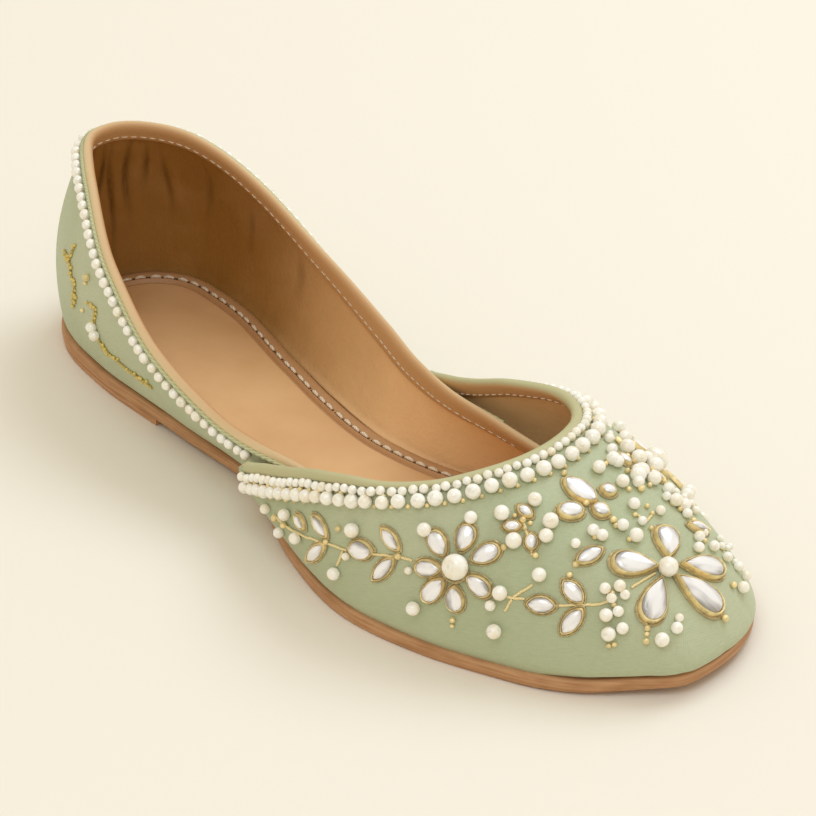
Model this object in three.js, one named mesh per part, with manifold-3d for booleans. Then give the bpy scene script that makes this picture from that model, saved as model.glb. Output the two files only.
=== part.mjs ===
// Mojari shoe, right foot: a low slip-on with a leather sole, a one-piece fabric upper with its
// lining, and rolled bindings. Millimetres, +Z up, toe towards -Y, inner side towards +X.
// The origin is on the floor under the middle of the shoe.
import * as THREE from 'three';
import Module from 'manifold-3d';
import { mergeVertices } from 'three/addons/utils/BufferGeometryUtils.js';

const wasm = await Module();
wasm.setup();

// Driving dimensions
const LENGTH = 250;
const UPPER_WALL = 2;
const UPPER_SET_BACK = 0.7;
const SOLE_THICK = 3.8;
const SOLE_EDGE_ROUND = 1;
const HEEL_LIFT_HEIGHT = 2.2;
const HEEL_BREAST = 63;
const HEEL_SET_BACK = 0.4;
const SEAT_GAP = 0.3;
const INSOLE_THICK = 1.8;
const INSOLE_RIM_WIDTH = 3.4;
const INSOLE_RIM_RISE = 0.8;
const INSOLE_INSET = 7.3;
const VAMP_CORNER = 117;
const QUARTER_FRONT = 190;
const THROAT_CROWN = 191.5;
const COLLAR_BACK = 7;
const COLLAR_ROLL = 1.35;
const THROAT_ROLL = 1.3;

// How far the sole draws in under the heel and under the toe, and over what lengths it does so
const SOLE_TUCK = 1.5;
const HEEL_TUCK_RUN = [20, 90];
const TOE_TUCK_RUN = [215, 245];

// How far the quarter's foot draws in to pass inside the vamp, and over what length it does so
const QUARTER_TUCK = 1.5;
const QUARTER_TUCK_RUN = 22;

// Round ends in plan: how far the rounding reaches, and how square it is (2 is an ellipse)
const HEEL_ROUND = { reach: 28, square: 2.1 };
const TOE_ROUND = { reach: 32, square: 2.4 };
const COLLAR_ROUND = { reach: 46, square: 2.2 };
const THROAT_ROUND = { reach: 27, square: 2.1 };

// Sole outline: distance of each side from the straight line between heel back and toe tip
const SOLE_PLAN = [
  { at: 0, lateral: 25, medial: 28 },
  { at: 20, lateral: 25.5, medial: 28.5 },
  { at: 45, lateral: 28, medial: 27 },
  { at: 75, lateral: 27.5, medial: 19 },
  { at: 105, lateral: 28, medial: 14 },
  { at: 135, lateral: 41, medial: 17.5 },
  { at: 165, lateral: 47.5, medial: 30 },
  { at: 190, lateral: 43.4, medial: 37.5 },
  { at: 212, lateral: 35.2, medial: 40 },
  { at: 230, lateral: 27.2, medial: 39 },
  { at: 250, lateral: 17, medial: 36 },
];

// Underside of the sole above the floor: heel seat, arch, flat tread, toe spring
const SOLE_RISE = [
  { at: 0, rise: 2.2 },
  { at: 63, rise: 2.2 },
  { at: 95, rise: 1.4 },
  { at: 135, rise: 0.4 },
  { at: 160, rise: 0 },
  { at: 205, rise: 0 },
  { at: 230, rise: 0.9 },
  { at: 250, rise: 3 },
];

// Top edge of the quarter, from the heel back to the front end inside the vamp
const COLLAR = [
  { at: 7, lateral: 17.5, medial: 21.5, height: 62 },
  { at: 25, lateral: 22, medial: 24.5, height: 59.7 },
  { at: 50, lateral: 31.5, medial: 27, height: 49 },
  { at: 75, lateral: 38, medial: 27.5, height: 38 },
  { at: 100, lateral: 38.5, medial: 25.5, height: 29.5 },
  { at: 117, lateral: 38, medial: 21.5, height: 27.5 },
  { at: 135, lateral: 37.5, medial: 18, height: 28.5 },
  { at: 155, lateral: 38, medial: 17.5, height: 29.5 },
  { at: 190, lateral: 36, medial: 18.5, height: 29 },
];

// Throat edge of the vamp, from its rear corners to the crown
const THROAT = [
  { at: 117, lateral: 42, medial: 25, height: 23.5 },
  { at: 128, lateral: 42.5, medial: 23.5, height: 27.5 },
  { at: 140, lateral: 43.5, medial: 22.5, height: 33 },
  { at: 152, lateral: 44, medial: 23.5, height: 38.5 },
  { at: 168, lateral: 42, medial: 25, height: 43.5 },
  { at: 183, lateral: 38, medial: 26.5, height: 46 },
  { at: 191.5, lateral: 36, medial: 28, height: 48 },
];

// Where the crown of the throat lies sideways
const CROWN_SIDE = -3;

// How full the vamp is from the feather line up to the throat, at its corners and at the toe
const VAMP_FULLNESS = { corner: 2, toe: 1.9 };

// How plainly the vamp leans, against turning over flat: at the toe, and at its corners
const VAMP_LEAN = { toe: 0.5, corner: 1 };

// Where along the vamp, from 0 at the toe to 1 at a corner, each of its shape values changes
const LEAN_RUN = [0.15, 1];
const FULLNESS_RUN = [0, 0.8];
const SWELL_RUN = [0.2, 0.9];
const TOE_SWELL_RUN = [0.15, 0.5];

// Outward swell of the quarter's wall at half height, at its front and at the heel back
const QUARTER_SWELL = { front: 1.5, heel: 4.6 };
const VAMP_SWELL = 2.5;

// The toe swells low down, over the sole's edge. A low exponent keeps the swell near the foot.
const TOE_SWELL = 3.4;
const TOE_SWELL_LOW = 0.35;

// Facets
const OUTLINE_STEPS = 72;
const QUARTER_STEPS = 44;
const QUARTER_ROWS = 6;
const VAMP_STEPS = 44;
const VAMP_ROWS = 9;
const ROLL_SIDES = 8;

// A smooth curve through one column of a table, as a function of the distance from the heel
function column(table, name) {
  const slopes = table.map((row, i) => {
    const before = table[Math.max(i - 1, 0)];
    const after = table[Math.min(i + 1, table.length - 1)];
    const turns = (after[name] - row[name]) * (row[name] - before[name]) <= 0;
    return turns ? 0 : (after[name] - before[name]) / (after.at - before.at);
  });
  return (at) => {
    const last = table.length - 2;
    let i = 0;
    while (i < last && at > table[i + 1].at) i += 1;
    const span = table[i + 1].at - table[i].at;
    const t = THREE.MathUtils.clamp((at - table[i].at) / span, 0, 1);
    const s = 1 - t;
    return table[i][name] * s * s * (1 + 2 * t) + table[i + 1][name] * t * t * (3 - 2 * t)
      + (slopes[i] * t * s * s - slopes[i + 1] * t * t * s) * span;
  };
}

// 0 at the very end of a plan curve, 1 where its round end is over
function roundEnd(distance, { reach, square }) {
  const left = Math.max(1 - Math.max(distance, 0) / reach, 0);
  return (1 - left ** square) ** (1 / square);
}

const soleLateral = column(SOLE_PLAN, 'lateral');
const soleMedial = column(SOLE_PLAN, 'medial');
const soleRise = column(SOLE_RISE, 'rise');
const collarLateral = column(COLLAR, 'lateral');
const collarMedial = column(COLLAR, 'medial');
const collarHeight = column(COLLAR, 'height');
const throatLateral = column(THROAT, 'lateral');
const throatMedial = column(THROAT, 'medial');
const throatHeight = column(THROAT, 'height');

const soleTop = (at) => soleRise(at) + SOLE_THICK;
const smooth = THREE.MathUtils.smoothstep;
const mix = THREE.MathUtils.lerp;

// Outline of the sole by turn: 0 at the heel back, negative along the outer side, plus or minus
// pi at the toe. x is sideways and y is the distance from the heel.
function soleOutline(turn) {
  const at = (LENGTH / 2) * (1 - Math.cos(turn));
  const ends = roundEnd(at, HEEL_ROUND) * roundEnd(LENGTH - at, TOE_ROUND);
  const side = turn < 0 ? -soleLateral(at) : soleMedial(at);
  return new THREE.Vector2(side * ends, at);
}

function soleTuck(at) {
  return SOLE_TUCK * (1 - smooth(at, ...HEEL_TUCK_RUN) + smooth(at, ...TOE_TUCK_RUN));
}

// A point inside the outline: the sole's own edge has an inset of 0
const TURN_STEP = 0.01;
function outlineInset(turn, inset) {
  const ahead = soleOutline(turn + TURN_STEP);
  const behind = soleOutline(turn - TURN_STEP);
  const along = ahead.sub(behind).normalize();
  const point = soleOutline(turn);
  const drawn = inset + soleTuck(point.y);
  return new THREE.Vector2(point.x - along.y * drawn, point.y + along.x * drawn);
}

const turnAt = (at) => Math.acos(1 - (2 * at) / LENGTH);

// From plan values to model space, where the toe points towards -Y
const place = (x, at, z) => new THREE.Vector3(x, LENGTH / 2 - at, z);

// A point of a wall between its foot and its top edge. rise runs from 0 to 1, straight is 1 for a
// plain leaning wall and 0 for one that turns over, full is how square that turn is. swell bulges
// the wall at half height and low does so near its foot.
function wallPoint(foot, top, rise, { straight, full, swell, low, out }) {
  const angle = (rise * Math.PI) / 2;
  const over = mix(1 - Math.cos(angle) ** (2 / full), rise, straight);
  const up = mix(Math.sin(angle) ** (2 / full), rise, straight);
  const bulge = swell * Math.sin(Math.PI * rise) + low * Math.sin(Math.PI * rise ** TOE_SWELL_LOW);
  return place(
    mix(foot.x, top.x, over) + out.x * bulge,
    mix(foot.y, top.y, over) + out.y * bulge,
    mix(foot.z, top.z, up),
  );
}

function outward(turn) {
  return outlineInset(turn, 0).sub(outlineInset(turn, 1));
}

// The quarter's outer face: along runs from -1 at the outer front end to 1 at the inner one
function quarterPoint(along, rise) {
  const reach = along * along;
  const at = QUARTER_FRONT * reach;
  const turn = Math.sign(along) * turnAt(at);
  const under = smooth(at, VAMP_CORNER - QUARTER_TUCK_RUN, VAMP_CORNER);
  const base = outlineInset(turn, UPPER_SET_BACK + QUARTER_TUCK * under);
  const foot = new THREE.Vector3(base.x, base.y, soleTop(base.y) + SEAT_GAP);
  const edge = mix(COLLAR_BACK, QUARTER_FRONT, reach);
  const round = roundEnd(edge - COLLAR_BACK, COLLAR_ROUND);
  const side = along < 0 ? -collarLateral(edge) : collarMedial(edge);
  const top = new THREE.Vector3(side * round, edge, collarHeight(edge) - 2 * COLLAR_ROLL);
  const swell = mix(QUARTER_SWELL.heel, QUARTER_SWELL.front, smooth(at, 0, VAMP_CORNER));
  return wallPoint(foot, top, rise, { straight: 1, full: 2, swell, low: 0, out: outward(turn) });
}

// The vamp's outer face: along runs from -1 at the outer corner over the toe to 1 at the inner one
function vampPoint(along, rise) {
  const back = along * along;
  const at = mix(LENGTH, VAMP_CORNER, back);
  const turn = (along < 0 ? -1 : 1) * turnAt(at);
  const base = outlineInset(turn, UPPER_SET_BACK);
  const foot = new THREE.Vector3(base.x, base.y, soleTop(base.y) + SEAT_GAP);
  const edge = mix(THROAT_CROWN, VAMP_CORNER, back);
  const round = roundEnd(THROAT_CROWN - edge, THROAT_ROUND);
  const side = along < 0 ? -throatLateral(edge) : throatMedial(edge);
  const top = new THREE.Vector3(mix(CROWN_SIDE, side, round), edge,
    throatHeight(edge) - 2 * THROAT_ROLL);
  const away = Math.abs(along);
  const shape = {
    straight: mix(VAMP_LEAN.toe, VAMP_LEAN.corner, smooth(away, ...LEAN_RUN)),
    full: mix(VAMP_FULLNESS.toe, VAMP_FULLNESS.corner, smooth(away, ...FULLNESS_RUN)),
    swell: VAMP_SWELL * smooth(away, ...SWELL_RUN),
    low: TOE_SWELL * (1 - smooth(away, ...TOE_SWELL_RUN)),
    out: outward(turn),
  };
  return wallPoint(foot, top, rise, shape);
}

const FACE_STEP = 0.004;
const EDGE_STEP = 0.05;
function faceNormal(face, along, rise) {
  const a = face(along + FACE_STEP, rise).sub(face(along - FACE_STEP, rise));
  const low = Math.max(rise - FACE_STEP, 0);
  const high = Math.min(rise + FACE_STEP, 1);
  const b = face(along, high).sub(face(along, low));
  return a.cross(b).normalize();
}

// One closed solid from corner points and triangles, its faces turned outwards
function closedGeometry(points, triangles) {
  const raw = new THREE.BufferGeometry();
  raw.setAttribute('position', new THREE.Float32BufferAttribute(
    points.flatMap((p) => [p.x, p.y, p.z]), 3));
  raw.setIndex(triangles);
  const merged = mergeVertices(raw, 1e-4);
  const index = Array.from(merged.index.array);
  const kept = [];
  for (let i = 0; i < index.length; i += 3) {
    const [a, b, c] = index.slice(i, i + 3);
    if (a !== b && b !== c && c !== a) kept.push(a, b, c);
  }
  merged.setIndex(kept);
  return facingOut(merged);
}

function facingOut(geometry) {
  const index = geometry.index.array;
  const corner = (i) => new THREE.Vector3().fromBufferAttribute(geometry.attributes.position, index[i]);
  let volume = 0;
  for (let i = 0; i < index.length; i += 3) {
    volume += corner(i).dot(corner(i + 1).cross(corner(i + 2)));
  }
  if (volume < 0) {
    for (let i = 0; i < index.length; i += 3) {
      [index[i], index[i + 1]] = [index[i + 1], index[i]];
    }
  }
  return geometry;
}

// A wall of even thickness behind a face, with its four rims closed
function wallGeometry(face, steps, rows, thickness, flip) {
  const outer = [];
  const inner = [];
  for (let i = 0; i <= steps; i += 1) {
    const along = mix(-1, 1, i / steps);
    for (let j = 0; j <= rows; j += 1) {
      const point = face(along, j / rows);
      const inwards = faceNormal(face, along, j / rows).multiplyScalar(flip * thickness);
      if (j === 0) inwards.z = 0;
      outer.push(point);
      inner.push(point.clone().add(inwards));
    }
  }
  const skin = outer.length;
  const at = (i, j) => i * (rows + 1) + j;
  const triangles = [];
  const quad = (a, b, c, d) => triangles.push(a, b, c, a, c, d);
  for (let i = 0; i < steps; i += 1) {
    for (let j = 0; j < rows; j += 1) {
      quad(at(i, j), at(i + 1, j), at(i + 1, j + 1), at(i, j + 1));
      quad(skin + at(i, j + 1), skin + at(i + 1, j + 1), skin + at(i + 1, j), skin + at(i, j));
    }
    quad(at(i, 0), skin + at(i, 0), skin + at(i + 1, 0), at(i + 1, 0));
    quad(at(i + 1, rows), skin + at(i + 1, rows), skin + at(i, rows), at(i, rows));
  }
  for (let j = 0; j < rows; j += 1) {
    quad(at(0, j + 1), skin + at(0, j + 1), skin + at(0, j), at(0, j));
    quad(at(steps, j), skin + at(steps, j), skin + at(steps, j + 1), at(steps, j + 1));
  }
  return closedGeometry([...outer, ...inner], triangles);
}

// A solid between loops that lie one above the other. Each loop runs from one side round to the
// other, and its two ends are closed straight across.
function slabGeometry(loops) {
  const count = loops[0].length;
  const triangles = [];
  const quad = (a, b, c, d) => triangles.push(a, b, c, a, c, d);
  for (let level = 0; level + 1 < loops.length; level += 1) {
    const low = level * count;
    const high = low + count;
    for (let i = 0; i < count; i += 1) {
      const next = (i + 1) % count;
      quad(low + i, low + next, high + next, high + i);
    }
  }
  const top = (loops.length - 1) * count;
  for (let i = 0; 2 * i + 1 < count - 1; i += 1) {
    const j = count - 1 - i;
    quad(i, j, j - 1, i + 1);
    quad(top + i, top + i + 1, top + j - 1, top + j);
  }
  return closedGeometry(loops.flat(), triangles);
}

function outlineLoop(from, to, steps, inset, height) {
  return Array.from({ length: steps }, (_, i) => {
    const point = outlineInset(mix(from, to, i / (steps - 1)), inset);
    return place(point.x, point.y, height(point.y));
  });
}

const TIP_TURN = Math.PI - 0.03;
const wholeLoop = (inset, height) => outlineLoop(-TIP_TURN, TIP_TURN, OUTLINE_STEPS, inset, height);

function outsoleGeometry() {
  return slabGeometry([
    wholeLoop(SOLE_EDGE_ROUND, soleRise),
    wholeLoop(0, (at) => soleRise(at) + SOLE_EDGE_ROUND),
    wholeLoop(0, (at) => soleTop(at) - SOLE_EDGE_ROUND / 2),
    wholeLoop(SOLE_EDGE_ROUND / 2, soleTop),
  ]);
}

function heelLiftGeometry() {
  const turn = turnAt(HEEL_BREAST);
  const steps = Math.round(OUTLINE_STEPS / 2);
  const loop = (inset, height) => outlineLoop(-turn, turn, steps, inset, () => height);
  return slabGeometry([
    loop(HEEL_SET_BACK + SOLE_EDGE_ROUND / 2, 0),
    loop(HEEL_SET_BACK, SOLE_EDGE_ROUND / 2),
    loop(HEEL_SET_BACK, HEEL_LIFT_HEIGHT - SEAT_GAP),
  ]);
}

function insoleGeometry() {
  const level = (rise) => (at) => soleTop(at) + SEAT_GAP + rise;
  const rim = INSOLE_THICK + INSOLE_RIM_RISE;
  return slabGeometry([
    wholeLoop(INSOLE_INSET, level(0)),
    wholeLoop(INSOLE_INSET, level(rim)),
    wholeLoop(INSOLE_INSET + INSOLE_RIM_WIDTH, level(rim)),
    wholeLoop(INSOLE_INSET + INSOLE_RIM_WIDTH + INSOLE_RIM_RISE, level(INSOLE_THICK)),
  ]);
}

// Joins two closed solids into one
function joined(first, second) {
  const solids = [first, second].map((geometry) => new wasm.Manifold(new wasm.Mesh({
    numProp: 3,
    vertProperties: new Float32Array(geometry.attributes.position.array),
    triVerts: new Uint32Array(geometry.index.array),
  })));
  const mesh = solids[0].add(solids[1]).getMesh();
  const geometry = new THREE.BufferGeometry();
  geometry.setAttribute('position', new THREE.BufferAttribute(mesh.vertProperties, 3));
  geometry.setIndex(Array.from(mesh.triVerts));
  return geometry;
}

function upperGeometry() {
  const quarter = wallGeometry(quarterPoint, QUARTER_STEPS, QUARTER_ROWS, UPPER_WALL, 1);
  const vamp = wallGeometry(vampPoint, VAMP_STEPS, VAMP_ROWS, UPPER_WALL, -1);
  return joined(quarter, vamp);
}

// A roll that lies on the top edge of a wall and stops one facet short of its ends
function edgeRollGeometry(face, steps, radius, flip) {
  const points = [];
  for (let i = 1; i < steps; i += 1) {
    const along = mix(-1, 1, i / steps);
    const edge = face(along, 1);
    const normal = faceNormal(face, along, 1).multiplyScalar(flip);
    const up = edge.clone().sub(face(along, 1 - EDGE_STEP)).normalize();
    const middle = edge.addScaledVector(normal, UPPER_WALL / 2).addScaledVector(up, radius + SEAT_GAP);
    for (let k = 0; k < ROLL_SIDES; k += 1) {
      const angle = ((k + 0.5) / ROLL_SIDES) * 2 * Math.PI;
      points.push(middle.clone()
        .addScaledVector(normal, radius * Math.cos(angle))
        .addScaledVector(up, radius * Math.sin(angle)));
    }
  }
  return tubeGeometry(points, steps - 2, ROLL_SIDES);
}

function tubeGeometry(points, steps, sides) {
  const triangles = [];
  for (let i = 0; i < steps; i += 1) {
    for (let k = 0; k < sides; k += 1) {
      const next = (k + 1) % sides;
      const a = i * sides + k;
      const b = i * sides + next;
      triangles.push(a, b, b + sides, a, b + sides, a + sides);
    }
  }
  const end = steps * sides;
  for (let k = 1; k + 1 < sides; k += 1) {
    triangles.push(0, k + 1, k, end, end + k, end + k + 1);
  }
  return closedGeometry(points, triangles);
}

const leather = (color) => new THREE.MeshStandardMaterial({ color, roughness: 0.55, metalness: 0 });
const cloth = (color) => new THREE.MeshStandardMaterial({ color, roughness: 0.8, metalness: 0 });

const shoe = new THREE.Group();
function add(name, geometry, material) {
  const mesh = new THREE.Mesh(geometry, material);
  mesh.name = name;
  shoe.add(mesh);
}

add('outsole', outsoleGeometry(), leather(0xb07a50));
add('heel_lift', heelLiftGeometry(), leather(0xa06c45));
add('insole', insoleGeometry(), leather(0xc08f62));
add('upper', upperGeometry(), cloth(0xa3b18c));
add('collar_binding', edgeRollGeometry(quarterPoint, QUARTER_STEPS, COLLAR_ROLL, 1), cloth(0xe6d8b8));
add('throat_binding', edgeRollGeometry(vampPoint, VAMP_STEPS, THROAT_ROLL, -1), cloth(0xcfd0ae));

// The floor and the middle of the shoe are the origin
const box = new THREE.Box3().setFromObject(shoe);
const middle = box.getCenter(new THREE.Vector3());
shoe.position.set(-middle.x, -middle.y, -box.min.z);

export default shoe;
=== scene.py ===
import math
import random

import bmesh
import bpy
from mathutils import Matrix, Vector, noise
from mathutils.bvhtree import BVHTree


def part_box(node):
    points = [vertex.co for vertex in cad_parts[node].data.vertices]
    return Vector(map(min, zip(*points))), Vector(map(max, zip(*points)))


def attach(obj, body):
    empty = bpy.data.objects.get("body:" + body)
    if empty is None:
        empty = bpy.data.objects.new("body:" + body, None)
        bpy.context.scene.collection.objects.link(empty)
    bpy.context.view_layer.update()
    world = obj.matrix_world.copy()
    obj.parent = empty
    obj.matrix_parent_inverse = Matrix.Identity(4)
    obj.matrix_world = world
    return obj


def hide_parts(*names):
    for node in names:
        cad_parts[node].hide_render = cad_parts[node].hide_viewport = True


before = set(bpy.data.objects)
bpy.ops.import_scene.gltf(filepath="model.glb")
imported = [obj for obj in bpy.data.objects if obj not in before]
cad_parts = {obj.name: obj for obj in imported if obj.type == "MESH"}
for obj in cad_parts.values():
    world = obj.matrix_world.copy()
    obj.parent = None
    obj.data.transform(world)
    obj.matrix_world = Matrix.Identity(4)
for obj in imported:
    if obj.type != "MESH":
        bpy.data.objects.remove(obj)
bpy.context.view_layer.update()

bl_info = {
    "name": "Mojari shoe",
    "version": (1, 0, 0),
    "blender": (4, 5, 0),
    "location": "3D View > Sidebar > Shoe",
    "description": "Dresses the modelled mojari shoe: fabric, leather, pearls, set stones and stitches",
    "category": "Object",
}

MM = 0.001
TAU = 2 * math.pi

# The shoe's own sizes in millimetres, as in the solids
LENGTH = 250
UPPER_WALL = 2
UPPER_SET_BACK = 0.7
SOLE_THICK = 3.8
HEEL_LIFT_HEIGHT = 2.2
HEEL_BREAST = 63
SEAT_GAP = 0.3
INSOLE_THICK = 1.8
VAMP_CORNER = 117
QUARTER_FRONT = 190
SOLE_TUCK = 1.5
HEEL_TUCK_RUN = (20, 90)
TOE_TUCK_RUN = (215, 245)
QUARTER_TUCK = 1.5
QUARTER_TUCK_RUN = 22
THROAT_CROWN = 191.5
COLLAR_BACK = 7
COLLAR_ROLL = 1.35
THROAT_ROLL = 1.3
CROWN_SIDE = -3

# Round ends in plan: reach in millimetres, and how square (2 is an ellipse)
HEEL_ROUND = (28, 2.1)
TOE_ROUND = (32, 2.4)
COLLAR_ROUND = (46, 2.2)
THROAT_ROUND = (27, 2.1)

# Tables: each row starts with the distance from the heel back
SOLE_PLAN = {
    "at": (0, 20, 45, 75, 105, 135, 165, 190, 212, 230, 250),
    "lateral": (25, 25.5, 28, 27.5, 28, 41, 47.5, 43.4, 35.2, 27.2, 17),
    "medial": (28, 28.5, 27, 19, 14, 17.5, 30, 37.5, 40, 39, 36),
}
SOLE_RISE = {
    "at": (0, 63, 95, 135, 160, 205, 230, 250),
    "rise": (2.2, 2.2, 1.4, 0.4, 0, 0, 0.9, 3),
}
COLLAR = {
    "at": (7, 25, 50, 75, 100, 117, 135, 155, 190),
    "lateral": (17.5, 22, 31.5, 38, 38.5, 38, 37.5, 38, 36),
    "medial": (21.5, 24.5, 27, 27.5, 25.5, 21.5, 18, 17.5, 18.5),
    "height": (62, 59.7, 49, 38, 29.5, 27.5, 28.5, 29.5, 29),
}
THROAT = {
    "at": (117, 128, 140, 152, 168, 183, 191.5),
    "lateral": (42, 42.5, 43.5, 44, 42, 38, 36),
    "medial": (25, 23.5, 22.5, 23.5, 25, 26.5, 28),
    "height": (23.5, 27.5, 33, 38.5, 43.5, 46, 48),
}
VAMP_FULLNESS = (1.9, 2)
VAMP_LEAN = (0.5, 1)
VAMP_SWELL = 2.5
QUARTER_SWELL = (4.6, 1.5)
TOE_SWELL = 3.4
TOE_SWELL_LOW = 0.35

# Shares of the way from the toe to the vamp's corner over which its shape changes
LEAN_RUN = (0.15, 1)
FULLNESS_RUN = (0, 0.8)
SWELL_RUN = (0.2, 0.9)
TOE_SWELL_RUN = (0.15, 0.5)

# Steps of the outline's samples and of the differences that give directions
PLAN_STEPS = 720
TURN_STEP = 0.01
FACE_STEP = 0.004
EDGE_STEP = 0.05

# The photo's camera: its turn round the shoe, the scale at the shoe, and where the middle of the
# sole's straight line falls in the 816 pixel frame
PHOTO_SIZE = 816
PHOTO_AZIMUTH = math.radians(-41.34)
PHOTO_ELEVATION = math.radians(34.42)
PHOTO_PIXELS_PER_MM = 3.03
PHOTO_MIDDLE = (284.3, 496.0)
PHOTO_DISTANCE = 1286.6
FRAME_ZOOM = 1.22
FRAME_MIDDLE = (309, 433)


def mix(a, b, t):
    return a + (b - a) * t


def smooth(value, low, high):
    t = min(max((value - low) / (high - low), 0), 1)
    return t * t * (3 - 2 * t)


def column(table, name):
    """A smooth curve through one column of a table, by the distance from the heel."""
    ats, values = table["at"], table[name]
    last = len(ats) - 1
    slopes = []
    for i, value in enumerate(values):
        before, after = max(i - 1, 0), min(i + 1, last)
        turns = (values[after] - value) * (value - values[before]) <= 0
        slope = (values[after] - values[before]) / (ats[after] - ats[before])
        slopes.append(0 if turns else slope)

    def value_at(at):
        i = 0
        while i < last - 1 and at > ats[i + 1]:
            i += 1
        span = ats[i + 1] - ats[i]
        t = min(max((at - ats[i]) / span, 0), 1)
        s = 1 - t
        ends = values[i] * s * s * (1 + 2 * t) + values[i + 1] * t * t * (3 - 2 * t)
        return ends + (slopes[i] * t * s * s - slopes[i + 1] * t * t * s) * span

    return value_at


sole_lateral = column(SOLE_PLAN, "lateral")
sole_medial = column(SOLE_PLAN, "medial")
sole_rise = column(SOLE_RISE, "rise")
collar_lateral = column(COLLAR, "lateral")
collar_medial = column(COLLAR, "medial")
collar_height = column(COLLAR, "height")
throat_lateral = column(THROAT, "lateral")
throat_medial = column(THROAT, "medial")
throat_height = column(THROAT, "height")


def sole_top(at):
    return sole_rise(at) + SOLE_THICK


def round_end(distance, ends):
    reach, square = ends
    left = max(1 - max(distance, 0) / reach, 0)
    return (1 - left**square) ** (1 / square)


def sole_outline(turn):
    """Plan point (sideways, distance from heel): turn 0 is the heel back, pi the toe."""
    at = LENGTH / 2 * (1 - math.cos(turn))
    ends = round_end(at, HEEL_ROUND) * round_end(LENGTH - at, TOE_ROUND)
    side = -sole_lateral(at) if math.sin(turn) < 0 else sole_medial(at)
    return Vector((side * ends, at))


def outline_way(turn):
    return (sole_outline(turn + TURN_STEP) - sole_outline(turn - TURN_STEP)).normalized()


def sole_tuck(at):
    """How far the sole draws in under the heel and under the toe."""
    return SOLE_TUCK * (1 - smooth(at, *HEEL_TUCK_RUN) + smooth(at, *TOE_TUCK_RUN))


def outline_inset(turn, inset):
    """A point inside the outline: the sole's own edge has an inset of 0."""
    way = outline_way(turn)
    point = sole_outline(turn)
    drawn = inset + sole_tuck(point.y)
    return Vector((point.x - way.y * drawn, point.y + way.x * drawn))


def turn_at(at):
    return math.acos(1 - 2 * at / LENGTH)


PLAN_SAMPLES = [sole_outline(TAU * i / PLAN_STEPS) for i in range(PLAN_STEPS)]
PLAN_LOW_X = min(p.x for p in PLAN_SAMPLES)
SOLE_LOW, SOLE_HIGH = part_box("outsole")
SHIFT_X = SOLE_LOW[0] / MM - PLAN_LOW_X
SHIFT_Y = (SOLE_LOW[1] + SOLE_HIGH[1]) / 2 / MM


def place(x, at, z):
    """From plan values in millimetres to the frame in metres."""
    return Vector((x + SHIFT_X, LENGTH / 2 - at + SHIFT_Y, z)) * MM


def wall_point(foot, top, rise, straight, full, swell, low, out):
    """A point between a wall's foot and its top edge; low is a swell that sits near the foot."""
    angle = rise * math.pi / 2
    over = mix(1 - max(math.cos(angle), 0) ** (2 / full), rise, straight)
    up = mix(math.sin(angle) ** (2 / full), rise, straight)
    bulge = swell * math.sin(math.pi * rise) + low * math.sin(math.pi * rise**TOE_SWELL_LOW)
    return place(
        mix(foot[0], top[0], over) + out.x * bulge,
        mix(foot[1], top[1], over) + out.y * bulge,
        mix(foot[2], top[2], up),
    )


def outward(turn):
    way = outline_way(turn)
    return Vector((way.y, -way.x))


def quarter_point(along, rise):
    reach = along * along
    at = QUARTER_FRONT * reach
    turn = math.copysign(turn_at(at), along)
    under = smooth(at, VAMP_CORNER - QUARTER_TUCK_RUN, VAMP_CORNER)
    base = outline_inset(turn, UPPER_SET_BACK + QUARTER_TUCK * under)
    edge = mix(COLLAR_BACK, QUARTER_FRONT, reach)
    ends = round_end(edge - COLLAR_BACK, COLLAR_ROUND)
    side = -collar_lateral(edge) if along < 0 else collar_medial(edge)
    foot = (base.x, base.y, sole_top(base.y) + SEAT_GAP)
    top = (side * ends, edge, collar_height(edge) - 2 * COLLAR_ROLL)
    swell = mix(*QUARTER_SWELL, smooth(at, 0, VAMP_CORNER))
    return wall_point(foot, top, rise, 1, 2, swell, 0, outward(turn))


def vamp_point(along, rise):
    back = along * along
    at = mix(LENGTH, VAMP_CORNER, back)
    turn = math.copysign(turn_at(at), along)
    base = outline_inset(turn, UPPER_SET_BACK)
    edge = mix(THROAT_CROWN, VAMP_CORNER, back)
    ends = round_end(THROAT_CROWN - edge, THROAT_ROUND)
    side = -throat_lateral(edge) if along < 0 else throat_medial(edge)
    foot = (base.x, base.y, sole_top(base.y) + SEAT_GAP)
    top = (mix(CROWN_SIDE, side, ends), edge, throat_height(edge) - 2 * THROAT_ROLL)
    straight = mix(*VAMP_LEAN, smooth(abs(along), *LEAN_RUN))
    full = mix(*VAMP_FULLNESS, smooth(abs(along), *FULLNESS_RUN))
    swell = VAMP_SWELL * smooth(abs(along), *SWELL_RUN)
    low = TOE_SWELL * (1 - smooth(abs(along), *TOE_SWELL_RUN))
    return wall_point(foot, top, rise, straight, full, swell, low, outward(turn))


def face_normal(face, along, rise):
    """The outward unit normal of the quarter's or vamp's outer face."""
    a = face(along + FACE_STEP, rise) - face(along - FACE_STEP, rise)
    b = face(along, min(rise + FACE_STEP, 1)) - face(along, max(rise - FACE_STEP, 0))
    normal = a.cross(b).normalized()
    return -normal if face is quarter_point else normal


# Mesh helpers


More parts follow.
